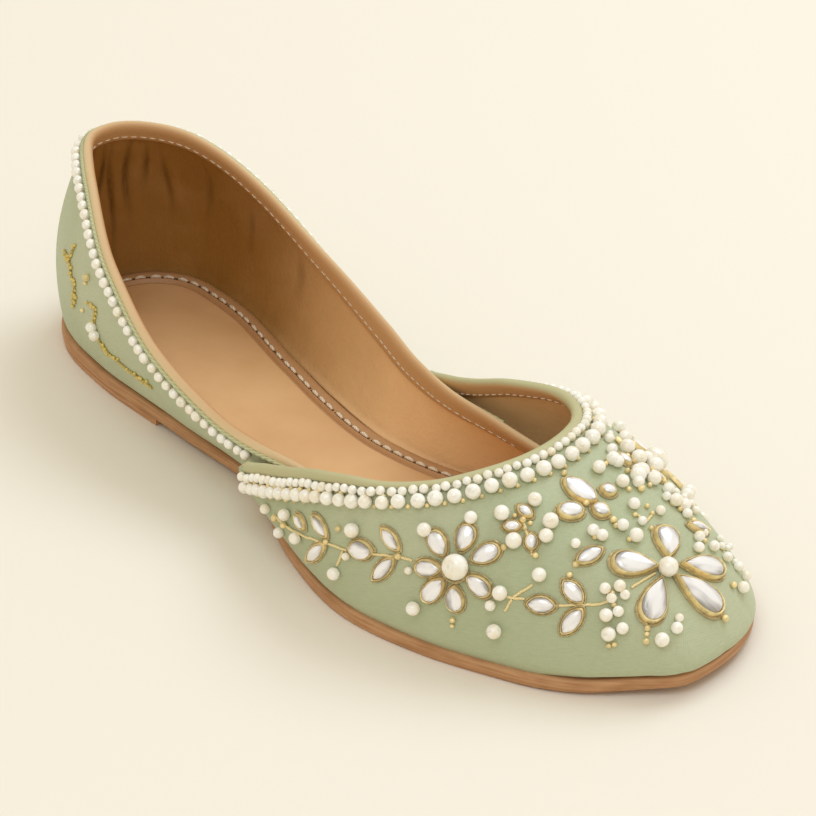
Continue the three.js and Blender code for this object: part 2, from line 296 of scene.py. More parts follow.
def grid(bm, columns, rows, point, span=(1, 1)):
    """Adds a grid whose vertices are moved to point(s, t), with its UVs in metres over span."""
    bm.loops.layers.uv.verify()
    made = bmesh.ops.create_grid(bm, x_segments=columns, y_segments=rows, size=0.5, calc_uvs=True)
    uv = bm.loops.layers.uv.active
    faces = {f for v in made["verts"] for f in v.link_faces}
    for face in faces:
        for loop in face.loops:
            loop[uv].uv = (loop[uv].uv[0] * span[0], loop[uv].uv[1] * span[1])
    for vert in made["verts"]:
        vert.co = point(vert.co.x + 0.5, vert.co.y + 0.5)
    return made["verts"]


def weld(bm, distance=1e-6):
    bmesh.ops.remove_doubles(bm, verts=bm.verts, dist=distance)
    bmesh.ops.dissolve_degenerate(bm, dist=distance / 10, edges=bm.edges)


def close_holes(bm):
    rims = [edge for edge in bm.edges if edge.is_boundary]
    if rims:
        bmesh.ops.holes_fill(bm, edges=rims, sides=0)


def close_up(bm, distance=1e-6):
    """Makes a bmesh watertight, with its faces outward."""
    weld(bm, distance)
    close_holes(bm)
    bmesh.ops.recalc_face_normals(bm, faces=bm.faces)


def make_piece(name, bm, material, nodes=(), sharp=40):
    """Turns a finished bmesh into a piece that rides on the shoe."""
    if bm.calc_volume(signed=True) < 0:
        bmesh.ops.reverse_faces(bm, faces=bm.faces)
    for face in bm.faces:
        face.smooth = True
    mesh = bpy.data.meshes.new(name)
    bm.to_mesh(mesh)
    bm.free()
    mesh.set_sharp_from_angle(angle=math.radians(sharp))
    mesh.materials.append(material)
    piece = bpy.data.objects.new(name, mesh)
    bpy.context.scene.collection.objects.link(piece)
    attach(piece, "root")
    if nodes:
        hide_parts(*nodes)
    return piece


def sweep(bm, steps, section, frame_at, span):
    """A solid that carries a closed section, given as (out, up) points, along a run of frames."""
    count = len(section)

    def point(s, t):
        centre, out, up = frame_at(s)
        across, high = section[round(t * count) % count]
        return centre + out * across * MM + up * high * MM

    verts = grid(bm, steps, count, point, span)
    bmesh.ops.remove_doubles(bm, verts=verts, dist=1e-6)
    close_holes(bm)


def round_section(radius, sides=10, across=0, high=0):
    return [
        (across + radius * math.cos(TAU * k / sides), high + radius * math.sin(TAU * k / sides))
        for k in range(sides)
    ]


def edge_frame(face, along):
    """Middle of a wall's top edge, its outward way and its way up."""
    edge = face(along, 1)
    normal = face_normal(face, along, 1)
    up = (edge - face(along, 1 - EDGE_STEP)).normalized()
    return edge - normal * (UPPER_WALL / 2 * MM), normal, up


def evenly(point, start, end, pitch, samples=600):
    """Parameters of places that lie evenly along a curve. pitch is a number or a function."""
    places, travelled, wanted = [], 0.0, 0.0
    before = point(start)
    for i in range(1, samples + 1):
        parameter = mix(start, end, i / samples)
        here = point(parameter)
        travelled += (here - before).length / MM
        before = here
        if travelled >= wanted:
            places.append(parameter)
            wanted += pitch(parameter) if callable(pitch) else pitch
    return places


# Materials: node groups give masks, colours and heights, and each shader keeps its own constants


def srgb(red, green, blue):
    """A screen colour, 0 to 255, as a linear colour."""
    def linear(value):
        value /= 255
        return value / 12.92 if value <= 0.04045 else ((value + 0.055) / 1.055) ** 2.4

    return (linear(red), linear(green), linear(blue))


def node(tree, kind, values=None, **settings):
    """Adds a node. values holds numbers, colours or the sockets that feed its inputs."""
    made = tree.nodes.new(kind)
    for name, value in settings.items():
        setattr(made, name, value)
    for key, value in (values or {}).items():
        if isinstance(value, bpy.types.NodeSocket):
            tree.links.new(value, made.inputs[key])
        else:
            made.inputs[key].default_value = value
    return made


def maths(tree, operation, first, second=0.0):
    return node(tree, "ShaderNodeMath", {0: first, 1: second}, operation=operation).outputs[0]


def blend(tree, amount, first, second, kind="MIX"):
    values = {"Factor": amount, 6: first, 7: second}
    made = node(tree, "ShaderNodeMix", values, data_type="RGBA", blend_type=kind)
    return made.outputs[2]


def ramp(tree, value, low, high):
    values = {"Value": value, "From Min": low, "From Max": high}
    made = node(tree, "ShaderNodeMapRange", values, interpolation_type="SMOOTHSTEP")
    return made.outputs["Result"]


def noise_at(tree, vector, scale, detail=2.0, rough=0.5):
    values = {"Vector": vector, "Scale": scale, "Detail": detail, "Roughness": rough}
    return node(tree, "ShaderNodeTexNoise", values).outputs["Fac"]


def scaled(tree, vector, factors):
    values = {"Vector": vector, "Scale": factors}
    return node(tree, "ShaderNodeMapping", values).outputs["Vector"]


def group_tree(name, inputs, outputs):
    tree = bpy.data.node_groups.new(name, "ShaderNodeTree")
    for socket, kind, value in inputs:
        made = tree.interface.new_socket(socket, in_out="INPUT", socket_type=kind)
        if value is not None:
            made.default_value = value
    for socket, kind in outputs:
        tree.interface.new_socket(socket, in_out="OUTPUT", socket_type=kind)
    return tree, tree.nodes.new("NodeGroupInput"), tree.nodes.new("NodeGroupOutput")


def use_group(tree, name, values):
    made = tree.nodes.new("ShaderNodeGroup")
    made.node_tree = bpy.data.node_groups[name]
    for key, value in values.items():
        if isinstance(value, bpy.types.NodeSocket):
            tree.links.new(value, made.inputs[key])
        else:
            made.inputs[key].default_value = value
    return made.outputs


def build_groups():
    """The effects that several materials share."""
    tree, given, result = group_tree(
        "woven",
        [("Vector", "NodeSocketVector", None), ("Threads", "NodeSocketFloat", 1800.0)],
        [("Height", "NodeSocketFloat"), ("Slub", "NodeSocketFloat")],
    )
    vector, threads = given.outputs["Vector"], given.outputs["Threads"]
    split = node(tree, "ShaderNodeSeparateXYZ", {0: vector})
    drift = maths(tree, "MULTIPLY", noise_at(tree, vector, 300.0), 2.5)
    warp = maths(tree, "SINE", maths(tree, "ADD", maths(tree, "MULTIPLY", split.outputs[0], threads), drift))
    weft = maths(tree, "SINE", maths(tree, "ADD", maths(tree, "MULTIPLY", split.outputs[1], threads), drift))
    slub = noise_at(tree, scaled(tree, vector, (420.0, 1500.0, 420.0)), 1.0, 3.0)
    knit = maths(tree, "MULTIPLY", warp, weft)
    height = maths(tree, "ADD", maths(tree, "MULTIPLY", knit, 0.5), maths(tree, "MULTIPLY", slub, 1.0))
    tree.links.new(height, result.inputs["Height"])
    tree.links.new(slub, result.inputs["Slub"])

    tree, given, result = group_tree(
        "leather_grain",
        [("Vector", "NodeSocketVector", None), ("Scale", "NodeSocketFloat", 900.0)],
        [("Height", "NodeSocketFloat"), ("Cloud", "NodeSocketFloat")],
    )
    vector, scale = given.outputs["Vector"], given.outputs["Scale"]
    cells = node(tree, "ShaderNodeTexVoronoi", {"Vector": vector, "Scale": scale}).outputs["Distance"]
    fine = noise_at(tree, vector, maths(tree, "MULTIPLY", scale, 0.6), 4.0)
    height = maths(tree, "ADD", maths(tree, "MULTIPLY", cells, 0.6), fine)
    tree.links.new(height, result.inputs["Height"])
    tree.links.new(noise_at(tree, vector, 45.0, 3.0), result.inputs["Cloud"])


def start_material(name):
    material = bpy.data.materials.new(name)
    material.use_nodes = True
    tree = material.node_tree
    shader = tree.nodes["Principled BSDF"]
    return material, tree, shader


def set_shader(tree, shader, values):
    for key, value in values.items():
        if isinstance(value, bpy.types.NodeSocket):
            tree.links.new(value, shader.inputs[key])
        else:
            shader.inputs[key].default_value = (*value, 1) if isinstance(value, tuple) else value


def bump(tree, height, depth_mm):
    values = {"Height": height, "Distance": depth_mm * MM, "Strength": 1.0}
    return node(tree, "ShaderNodeBump", values).outputs["Normal"]


def object_vector(tree):
    return node(tree, "ShaderNodeTexCoord").outputs["Object"]


def uv_vector(tree):
    return node(tree, "ShaderNodeTexCoord").outputs["UV"]


def fabric_material(name, colour, warm):
    material, tree, shader = start_material(name)
    out = use_group(tree, "woven", {"Vector": uv_vector(tree), "Threads": 6200.0})
    place_cloud = noise_at(tree, object_vector(tree), 22.0, 2.0)
    cloud = blend(tree, ramp(tree, place_cloud, 0.35, 0.7), (*colour, 1), (*warm, 1))
    wear_and_painted_shade = blend(tree, 0.22, cloud, node(tree, "ShaderNodeCombineColor", {
        0: out["Slub"], 1: out["Slub"], 2: out["Slub"]}).outputs[0], "SOFT_LIGHT")
    set_shader(tree, shader, {
        "Base Color": wear_and_painted_shade, "Roughness": 0.62, "Sheen Weight": 0.25, "Sheen Roughness": 0.4,
        "Sheen Tint": (0.93, 1.0, 0.86), "Normal": bump(tree, out["Height"], 0.05),
    })
    return material


# painted shade: a dark leather colour for the discs that stand for the shade in the needle holes
def hole_shade_material(name, colour):
    material, tree, shader = start_material(name)
    out = use_group(tree, "leather_grain", {"Vector": object_vector(tree), "Scale": 900.0})
    gloss = maths(tree, "ADD", 0.74, maths(tree, "MULTIPLY", out["Height"], 0.1))
    set_shader(tree, shader, {
        "Base Color": colour, "Roughness": gloss, "Normal": bump(tree, out["Height"], 0.02),
    })
    return material


def insole_material(name, light, dark, band, band_edge):
    """Smooth leather with a darker stitched band round it, told apart by the UV's second value."""
    material, tree, shader = start_material(name)
    out = use_group(tree, "leather_grain", {"Vector": object_vector(tree), "Scale": 900.0})
    smooth_leather = blend(tree, ramp(tree, out["Cloud"], 0.3, 0.72), (*light, 1), (*dark, 1))
    across = node(tree, "ShaderNodeSeparateXYZ", {0: uv_vector(tree)}).outputs[1]
    inner = ramp(tree, across, band_edge - 0.0005, band_edge + 0.0005)
    colour = blend(tree, inner, (*band, 1), smooth_leather)
    set_shader(tree, shader, {
        "Base Color": colour, "Roughness": 0.5, "Normal": bump(tree, out["Height"], 0.05),
    })
    return material


def lining_material(name, light, dark):
    """Leather that is darker and more handled towards the heel, with fine wrinkles."""
    material, tree, shader = start_material(name)
    vector = object_vector(tree)
    out = use_group(tree, "leather_grain", {"Vector": vector, "Scale": 1100.0})
    towards_heel = node(tree, "ShaderNodeSeparateXYZ", {0: vector}).outputs[1]
    # painted shade: the lining grows darker towards the heel, where the back of the upper shades it
    painted_heel_shade = ramp(tree, towards_heel, -0.01, 0.105)
    cloud = maths(tree, "MULTIPLY", maths(tree, "SUBTRACT", out["Cloud"], 0.5), 0.5)
    colour = blend(tree, maths(tree, "ADD", painted_heel_shade, cloud), (*light, 1), (*dark, 1))
    # painted shade in the creases, from the crease depth kept at each vertex
    crease = node(tree, "ShaderNodeAttribute", attribute_name="crease").outputs["Fac"]
    wear_and_painted_shade = blend(tree, maths(tree, "MULTIPLY", crease, 0.75), colour, tuple(0.3 * v for v in dark) + (1,))
    wrinkles = noise_at(tree, scaled(tree, vector, (260.0, 260.0, 70.0)), 1.0, 3.0, 0.6)
    height = maths(tree, "ADD", out["Height"], maths(tree, "MULTIPLY", wrinkles, 3.0))
    set_shader(tree, shader, {
        "Base Color": wear_and_painted_shade, "Roughness": 0.5, "Normal": bump(tree, height, 0.09),
    })
    return material


def sole_material(name, light, dark):
    """Cut leather: layers that run level round the edge."""
    material, tree, shader = start_material(name)
    vector = object_vector(tree)
    layers = noise_at(tree, scaled(tree, vector, (40.0, 40.0, 1500.0)), 1.0, 4.0, 0.65)
    streaks = noise_at(tree, scaled(tree, vector, (130.0, 130.0, 420.0)), 1.0, 3.0)
    tone = maths(tree, "ADD", maths(tree, "MULTIPLY", layers, 0.65), maths(tree, "MULTIPLY", streaks, 0.35))
    colour = blend(tree, ramp(tree, tone, 0.34, 0.66), (*dark, 1), (*light, 1))
    set_shader(tree, shader, {
        "Base Color": colour, "Roughness": 0.62, "Normal": bump(tree, tone, 0.12),
    })
    return material


def two_tone_material(name, inner, outer, meet, soft, rough=0.55):
    """A folded binding whose colour changes across its section, by the UV's second value."""
    material, tree, shader = start_material(name)
    across = node(tree, "ShaderNodeSeparateXYZ", {0: uv_vector(tree)}).outputs[1]
    out = use_group(tree, "leather_grain", {"Vector": object_vector(tree), "Scale": 1300.0})
    colour = blend(tree, ramp(tree, across, meet - soft, meet + soft), (*outer, 1), (*inner, 1))
    cloud = blend(tree, maths(tree, "MULTIPLY", out["Cloud"], 0.25), colour, (*inner, 1))
    set_shader(tree, shader, {
        "Base Color": cloud, "Roughness": rough, "Normal": bump(tree, out["Height"], 0.04),
    })
    return material


def thread_material(name, colour, twist=2600.0, metallic=0.0, rough=0.6, depth=0.12):
    """A twisted thread: slanting strands by the UV in metres."""
    material, tree, shader = start_material(name)
    split = node(tree, "ShaderNodeSeparateXYZ", {0: uv_vector(tree)})
    slant = maths(tree, "ADD", split.outputs[0], maths(tree, "MULTIPLY", split.outputs[1], 1.2))
    strands = maths(tree, "SINE", maths(tree, "MULTIPLY", slant, twist))
    shade = ramp(tree, strands, -1.0, 0.0)
    deep = tuple(0.8 * value for value in colour)
    set_shader(tree, shader, {
        "Base Color": blend(tree, shade, (*deep, 1), (*colour, 1)), "Metallic": metallic,
        "Roughness": rough, "Normal": bump(tree, strands, depth),
    })
    return material


def pearl_material(name, colour, warm):
    material, tree, shader = start_material(name)
    vector = object_vector(tree)
    lumps = noise_at(tree, vector, 700.0, 2.0)
    each = noise_at(tree, vector, 240.0, 2.0)
    tone = blend(tree, ramp(tree, each, 0.45, 0.75), (*colour, 1), (*warm, 1))
    pits = tuple(0.62 * value for value in warm)
    shade = blend(tree, maths(tree, "MULTIPLY", ramp(tree, lumps, 0.55, 0.75), 0.35), tone, (*pits, 1))
    set_shader(tree, shader, {
        "Base Color": shade, "Roughness": 0.19, "Coat Weight": 0.9, "Coat Roughness": 0.1,
        "Normal": bump(tree, lumps, 0.32),
    })
    return material


def metal_material(name, colour):
    material, tree, shader = start_material(name)
    vector = object_vector(tree)
    dents = noise_at(tree, vector, 900.0, 2.0)
    wear_and_painted_shade = noise_at(tree, vector, 420.0, 3.0)
    deep = tuple(0.72 * value for value in colour)
    set_shader(tree, shader, {
        "Base Color": blend(tree, ramp(tree, wear_and_painted_shade, 0.35, 0.6), (*deep, 1), (*colour, 1)),
        "Metallic": 0.35, "Roughness": maths(tree, "ADD", 0.3, maths(tree, "MULTIPLY", wear_and_painted_shade, 0.15)),
        "Normal": bump(tree, dents, 0.08),
    })
    return material


def stone_material(name, bright, grey):
    """Foil backed glass: white along the middle and grey towards the rim, by each stone's UV."""
    material, tree, shader = start_material(name)
    split = node(tree, "ShaderNodeSeparateXYZ", {0: uv_vector(tree)})
    ahead, beside = split.outputs[0], split.outputs[1]
    each = noise_at(tree, object_vector(tree), 130.0, 0.0)
    drift = maths(tree, "MULTIPLY", maths(tree, "SUBTRACT", each, 0.5), 1.2)
    off_middle = maths(tree, "SUBTRACT", beside, drift)
    rays = noise_at(tree, scaled(tree, uv_vector(tree), (1.1, 2.4, 1.0)), 1.0, 1.0)
    across = maths(tree, "MULTIPLY", off_middle, off_middle)
    far = maths(tree, "ADD", maths(tree, "MULTIPLY", maths(tree, "MULTIPLY", ahead, ahead), 0.7), across)
    tone = maths(tree, "ADD", far, maths(tree, "MULTIPLY", maths(tree, "SUBTRACT", rays, 0.5), 1.0))
    # painted reflection: white along the middle, grey towards the rim, streaked by the rays
    colour = blend(tree, ramp(tree, tone, 0.1, 0.9), (*bright, 1), (*grey, 1))
    set_shader(tree, shader, {
        "Base Color": colour, "Roughness": 0.2, "Metallic": 0.15, "Coat Weight": 0.8,
        "Coat Roughness": 0.06,
    })
    return material


# Colours: key, label, what it is, and the screen colour
COLOURS = (
    ("fabric", "Fabric", "Sage silk of the upper", (176, 184, 148)),
    ("fabric_warm", "Fabric, warm patches", "Lighter clouding in the silk", (188, 193, 160)),
    ("lining", "Lining", "Brown leather inside the upper", (236, 192, 138)),
    # lining_dark also gives the lining's painted shade towards the heel, and 0.3 of it the painted shade in
    # the creases
    ("lining_dark", "Lining, dark", "Darker clouding in the lining", (156, 110, 46)),
    ("insole", "Insole", "Smooth tan leather underfoot", (222, 178, 126)),
    ("insole_dark", "Insole, dark", "Darker clouding in the insole", (212, 166, 114)),
    ("band", "Insole band", "Stitched band round the insole", (186, 140, 94)),
    ("sole", "Sole", "Cut leather of the sole and heel", (198, 150, 106)),
    ("sole_dark", "Sole, dark", "Dark layers in the cut edge", (168, 118, 76)),
    # The collar roll's cream outer half and tan inner half are partly its own two tones and partly painted
    # light: a painted highlight along the outer curve and painted shade inwards.
    ("binding", "Collar binding", "Cream outer half of the collar roll", (226, 202, 158)),
    ("binding_inner", "Collar binding, inner", "Tan inner half of the collar roll", (196, 150, 100)),
    ("throat", "Throat binding", "Pale green fold at the throat", (190, 190, 146)),
    ("piping", "Piping", "Green strip beside the collar roll", (204, 206, 160)),
    ("stitch", "Stitches", "Off-white sewing thread", (238, 222, 196)),
    # The stitch hole colour is painted shade: the dark of the needle holes at the ends of the stitches.
    ("hole", "Stitch holes", "Dark holes at the ends of the stitches", (92, 58, 30)),
    ("pearl", "Pearls", "Imitation pearls", (253, 249, 238)),
    ("pearl_warm", "Pearls, warm", "Warmer imitation pearls", (246, 234, 206)),
    ("gold", "Gold", "Gold settings, beads and thread", (255, 232, 172)),
    ("zari", "Zari", "Yellow metal thread behind the heel side", (222, 198, 112)),
    # The stones' bright and grey colours are their painted reflection: white along the middle, grey towards
    # the rim.
    ("stone", "Stones", "Bright streaks of the foil backed stones", (250, 248, 248)),
    ("stone_grey", "Stones, grey", "Grey streaks of the foil backed stones", (160, 156, 152)),
    ("floor", "Floor", "Plain pale floor", (242, 235, 222)),
)
# Sizes in millimetres: key, label, what it is, the value, the least and the most
SIZES = (
    ("stitch_pitch", "Stitch pitch", "From one stitch to the next", 4.1, 1, 8),
    ("stitch_length", "Stitch length", "Length of thread seen in a stitch", 3.1, 0.5, 6),
    ("collar_pearl", "Collar pearl", "Diameter of the pearls along the collar", 3.15, 1, 6),
    ("collar_pitch", "Collar pearl pitch", "From one collar pearl to the next", 3.3, 1, 9),
    ("throat_pearl", "Small throat pearl", "Diameter of the pearls next to the throat binding", 2.6, 1, 6),
    ("throat_pitch", "Small throat pearl pitch", "From one small throat pearl to the next", 2.75, 1, 9),
    ("bezel_wall", "Setting wall", "Width of the gold rim of a set stone", 0.5, 0.2, 2),
)


def colour_property(label, about, screen):
    return bpy.props.FloatVectorProperty(name=label, description=about, subtype="COLOR", size=3,
                                         default=srgb(*screen), min=0, max=1)


def size_property(label, about, value, least, most):
    return bpy.props.FloatProperty(name=label, description=about, default=value * MM,
                                   min=least * MM, max=most * MM, unit="LENGTH")


class ShoeColours(bpy.types.PropertyGroup):
    """The shoe's colours."""

    __annotations__ = {key: colour_property(*rest) for key, *rest in COLOURS}


class ShoeSizes(bpy.types.PropertyGroup):
    """Sizes of the stitches, pearls and settings."""

    __annotations__ = {key: size_property(*rest) for key, *rest in SIZES}


def colours():
    return bpy.context.scene.shoe_colours


def sizes():
    return bpy.context.scene.shoe_sizes


def find_material(name):
    """Returns a material by name, built the first time it is asked for."""
    if name in bpy.data.materials:
        return bpy.data.materials[name]
    tint = {key: tuple(getattr(colours(), key)) for key in ShoeColours.__annotations__}
    makers = {
        "green_silk": lambda: fabric_material(name, tint["fabric"], tint["fabric_warm"]),
        "brown_lining": lambda: lining_material(name, tint["lining"], tint["lining_dark"]),
        "insole_leather": lambda: insole_material(name, tint["insole"], tint["insole_dark"], tint["band"],
                                                  INSOLE_BAND_EDGE),
        "cut_leather": lambda: sole_material(name, tint["sole"], tint["sole_dark"]),
        # the roll's soft change from cream to tan is partly its two tones and partly a painted highlight
        # outside with painted shade inside
        "roll_leather": lambda: two_tone_material(name, tint["binding_inner"], tint["binding"], 0.3, 0.13),
        "throat_silk": lambda: two_tone_material(name, tint["binding_inner"], tint["throat"], 0.42, 0.07,
                                                 0.6),
        "piping_thread": lambda: thread_material(name, tint["piping"], 3200.0),
        "sewing_thread": lambda: thread_material(name, tint["stitch"], 5200.0, depth=0.05),
        "gold_thread": lambda: thread_material(name, tint["gold"], 6500.0, 0.0, 0.4, 0.05),
        "zari_thread": lambda: thread_material(name, tint["zari"], 5200.0, 0.35, 0.35, 0.2),
        "stitch_hole_shade": lambda: hole_shade_material(name, tint["hole"]),
        "pearl": lambda: pearl_material(name, tint["pearl"], tint["pearl_warm"]),
        "gold": lambda: metal_material(name, tint["gold"]),
        "set_stone": lambda: stone_material(name, tint["stone"], tint["stone_grey"]),
    }
    return makers[name]()


# The upper: fabric outside, leather inside

# Creases pressed into the heel lining: along, rise, length and width in millimetres, depth
LINING_CREASES = (
    (-0.16, 0.56, 24.0, 0.7, 0.8),
    (-0.13, 0.60, 20.0, 1.4, -0.5),
    (-0.09, 0.66, 15.0, 0.6, 0.75),
    (-0.03, 0.62, 22.0, 0.7, 0.9),
    (0.0, 0.64, 18.0, 1.4, -0.6),
    (0.03, 0.68, 16.0, 0.65, 0.9),
    (0.07, 0.50, 26.0, 0.6, 0.8),
    (0.095, 0.62, 18.0, 1.5, -0.6),
    (0.125, 0.66, 19.0, 0.7, 0.9),
    (0.15, 0.66, 15.0, 1.5, -0.6),
    (0.175, 0.72, 12.0, 0.65, 0.7),
    (0.23, 0.62, 15.0, 0.9, 0.55),
    (0.255, 0.60, 12.0, 1.8, -0.5),
    (0.33, 0.62, 13.0, 1.3, 0.45),
    (0.44, 0.58, 11.0, 1.5, 0.4),
    (0.56, 0.60, 9.0, 1.8, 0.4),
    (-0.24, 0.60, 16.0, 0.9, 0.6),
    (-0.38, 0.60, 12.0, 1.5, 0.4),
)
# How far a crease reaches sideways, and how it wanders from a straight line, in millimetres
CREASE_REACH = 10
CREASE_WANDER = 0.8
CREASE_WAVE = 6.5
# Soft pulls in the silk: along, rise, length, width, depth; the last of them sit over the toe
VAMP_PULLS = (
    (-0.86, 0.45, 20.0, 3.4, 0.35),
    (-0.74, 0.22, 16.0, 3.0, 0.3),
    (0.80, 0.4, 20.0, 3.2, 0.35),
    (0.66, 0.2, 14.0, 3.0, 0.3),
    (-0.22, 0.10, 8.0, 1.8, 0.3),
    (-0.10, 0.08, 8.0, 1.6, 0.3),
    (0.05, 0.08, 8.0, 1.6, 0.3),
    (0.18, 0.10, 8.0, 1.8, 0.3),
)


def pressed(creases, centres, point):
    """Depth in millimetres of the creases near a point on the wall; a fold has a negative one."""
    depth = 0.0
    for (along, rise, length, width, deep), (centre, way, side) in zip(creases, centres):
        gap = (point - centre) / MM
        down, beside = gap.dot(way), gap.dot(side)
        if abs(beside) > CREASE_REACH or (gap - way * down - side * beside).length > CREASE_REACH:
            continue
        beside -= CREASE_WANDER * math.sin(down / CREASE_WAVE + along * 40)
        depth += deep * math.exp(-((down / length * 1.6) ** 2) - (beside / width) ** 2)
    return depth


def crease_centres(face, creases):
    """Where each crease lies, its way up the wall and its way across."""
    found = []
    for along, rise, length, width, deep in creases:
        centre = face(along, rise)
        way = (face(along, rise + 0.05) - centre).normalized()
        across = face(along + 0.01, rise) - centre
        found.append((centre, way, (across - way * across.dot(way)).normalized()))
    return found


# Share of the wall's height over which its foot rolls under, towards the sole
FOOT_ROLL = 0.07


def wall_sheet(name, face, material, steps, rows, outer, inner, tuck, creases=(), swap=1):
    """A closed sheet between two depths under the wall's outer face, in millimetres."""
    centres = crease_centres(face, creases)

    def row_rise(t):
        return 0 if t < tuck else (t - tuck) / (1 - tuck)

    def at_depth(s, t, depth):
        along, rise = mix(-1, 1, s), row_rise(t)
        base = face(along, rise)
        normal = face_normal(face, along, rise)
        dent = swap * pressed(creases, centres, base) if creases else 0
        under = Vector((0, 0, -SEAT_GAP - 0.1)) * MM if t < tuck else Vector()
        inward = 0.9 if t < tuck else 0.75 * max(1 - rise / FOOT_ROLL, 0) ** 2
        return base - normal * (depth + dent + inward) * MM + under

    bm = bmesh.new()
    shade = bm.verts.layers.float.new("crease")
    middle = [face(mix(-1, 1, i / 50), 0.5) for i in range(51)]
    length = sum((a - b).length for a, b in zip(middle, middle[1:]))
    height = (face(0.3, 1) - face(0.3, 0)).length
    grid(bm, steps, rows, lambda s, t: at_depth(s, t, outer), (length, height))
    inside = grid(bm, steps, rows, lambda s, t: at_depth(s, t, inner), (length, height))
    # each inner vertex keeps the depth of the creases there, for the lining's painted crease shade
    for vert in inside if creases else ():
        vert[shade] = sum(max(0, -swap * pressed([crease], [centre], vert.co))
                          for crease, centre in zip(creases, centres))
    rims = [edge for edge in bm.edges if edge.is_boundary]
    bmesh.ops.bridge_loops(bm, edges=rims)
    bmesh.ops.recalc_face_normals(bm, faces=bm.faces)
    return make_piece(name, bm, find_material(material), ("upper",), 50)


def make_fabric():
    wall_sheet("vamp_silk", vamp_point, "green_silk", 220, 48, 0.0, 0.95, 1 / 48,
               VAMP_PULLS)
    wall_sheet("quarter_silk", quarter_point, "green_silk", 240, 32, 0.0, 0.95, 1 / 32)


def make_lining():
    wall_sheet("vamp_lining", vamp_point, "brown_lining", 120, 24, 1.0, 2.0, 1 / 24)
    wall_sheet("quarter_lining", quarter_point, "brown_lining", 400, 50, 1.0, 1.95,
               1 / 50, LINING_CREASES, -1)


# Sole, heel and insole

SLAB_STEPS = 280


def spine(turn, share, inset):
    """A plan point drawn from the inset outline towards the sole's middle line."""
    edge = outline_inset(turn, inset)
    at = LENGTH / 2 * (1 - math.cos(turn))
    ends = inset + SOLE_TUCK
    at = min(max(at, ends), LENGTH - ends)
    middle = (sole_medial(at) - sole_lateral(at)) / 2 * round_end(at, HEEL_ROUND)
    return Vector((mix(edge.x, middle, share), mix(edge.y, at, share)))


def layered_slab(name, material, nodes, profile, height):
    """A slab whose section runs from its middle line underneath, round its edge and back on top.

    The profile's rows are (share towards the middle line, inset, height over its base)."""
    bm = bmesh.new()

    def point(s, t):
        share, inset, high = profile[round(t * (len(profile) - 1))]
        flat = spine(mix(-math.pi, math.pi, s), share, inset)
        return place(flat.x, flat.y, height(flat.y) + high)

    grid(bm, SLAB_STEPS, len(profile) - 1, point, (0.55, 0.01))
    close_up(bm, 2e-6)
    return make_piece(name, bm, find_material(material), nodes, 35)


def make_outsole():
    profile = [(share, 1.2, 0) for share in (1, 0.75, 0.5, 0.25)]
    top = SOLE_THICK
    profile += [(0, 1.0, 0), (0, 0.35, 0.15), (0, 0.05, 0.6), (0, 0, 1.2), (0, 0, top - 1.1),
                (0, 0.15, top - 0.4), (0, 0.6, top - 0.05), (0, 1.0, top)]
    profile += [(share, 1.2, SOLE_THICK) for share in (0.25, 0.5, 0.75, 1)]
    layered_slab("sole", "cut_leather", ("outsole",), profile, sole_rise)


def make_heel():
    """The stacked lift under the heel, with an upright front."""
    inset = 0.4
    last = turn_at(HEEL_BREAST)
    outline = [outline_inset(mix(-last, last, i / 120), inset) for i in range(121)]
    low, high = outline[0], outline[-1]
    across = [low.lerp(high, 1 - i / 24) for i in range(1, 24)]
    loop = outline + across
    middle = Vector((2, HEEL_BREAST / 2))
    levels = [(0.5, 0), (0.1, 0.35), (0, 0.8), (0, HEEL_LIFT_HEIGHT - 0.25), (0.2, HEEL_LIFT_HEIGHT - 0.02)]
    bm = bmesh.new()

    def point(s, t):
        flat = loop[round(s * len(loop)) % len(loop)]
        inset, z = levels[round(t * (len(levels) - 1))]
        drawn = flat + (middle - flat).normalized() * inset
        return place(drawn.x, drawn.y, z)

    grid(bm, len(loop), len(levels) - 1, point, (0.2, 0.005))
    close_up(bm)
    make_piece("heel_stack", bm, find_material("cut_leather"), ("heel_lift",), 35)


INSOLE_INSET = 3.6
INSOLE_BAND = 4.6
INSOLE_UV_ACROSS = 0.05
INSOLE_BAND_EDGE = 0.0365


def insole_inset(turn):
    at = LENGTH / 2 * (1 - math.cos(turn))
    under = smooth(at, VAMP_CORNER - QUARTER_TUCK_RUN, VAMP_CORNER)
    return INSOLE_INSET + QUARTER_TUCK * under


def make_insole():
    """The insole with a stitched band that stands up round its edge."""
    band = INSOLE_BAND
    profile = [(share, 1, 0) for share in (1, 0.7, 0.35)]
    profile += [(0, 0.4, 0), (0, 0, 0.5), (0, 0, 2.1), (0, 0.4, 2.7), (0, band * 0.3, 2.9),
                (0, band * 0.55, 2.85), (0, band * 0.64, 2.55), (0, band * 0.8, 2.5), (0, band * 0.88, 2.7),
                (0, band, 2.3),
                (0, band + 0.35, 1.75), (0, band + 1.0, 1.85)]
    profile += [(share, band + 1.2, INSOLE_THICK + 0.1) for share in (0.12, 0.3, 0.55, 0.8, 1)]
    bm = bmesh.new()

    def point(s, t):
        share, inset, high = profile[round(t * (len(profile) - 1))]
        turn = mix(-math.pi, math.pi, s)
        flat = spine(turn, share, insole_inset(turn) + inset)
        wave = 0.18 * noise.noise(Vector((flat.x, flat.y, 0)) * 0.06)
        return place(flat.x, flat.y, sole_top(flat.y) + high + wave * share)

    grid(bm, SLAB_STEPS, len(profile) - 1, point, (0.5, INSOLE_UV_ACROSS))
    close_up(bm, 2e-6)
    make_piece("insole_sock", bm, find_material("insole_leather"), ("insole",), 50)


# Bindings along the two edges: sections in millimetres, outward and up from the wall's top edge

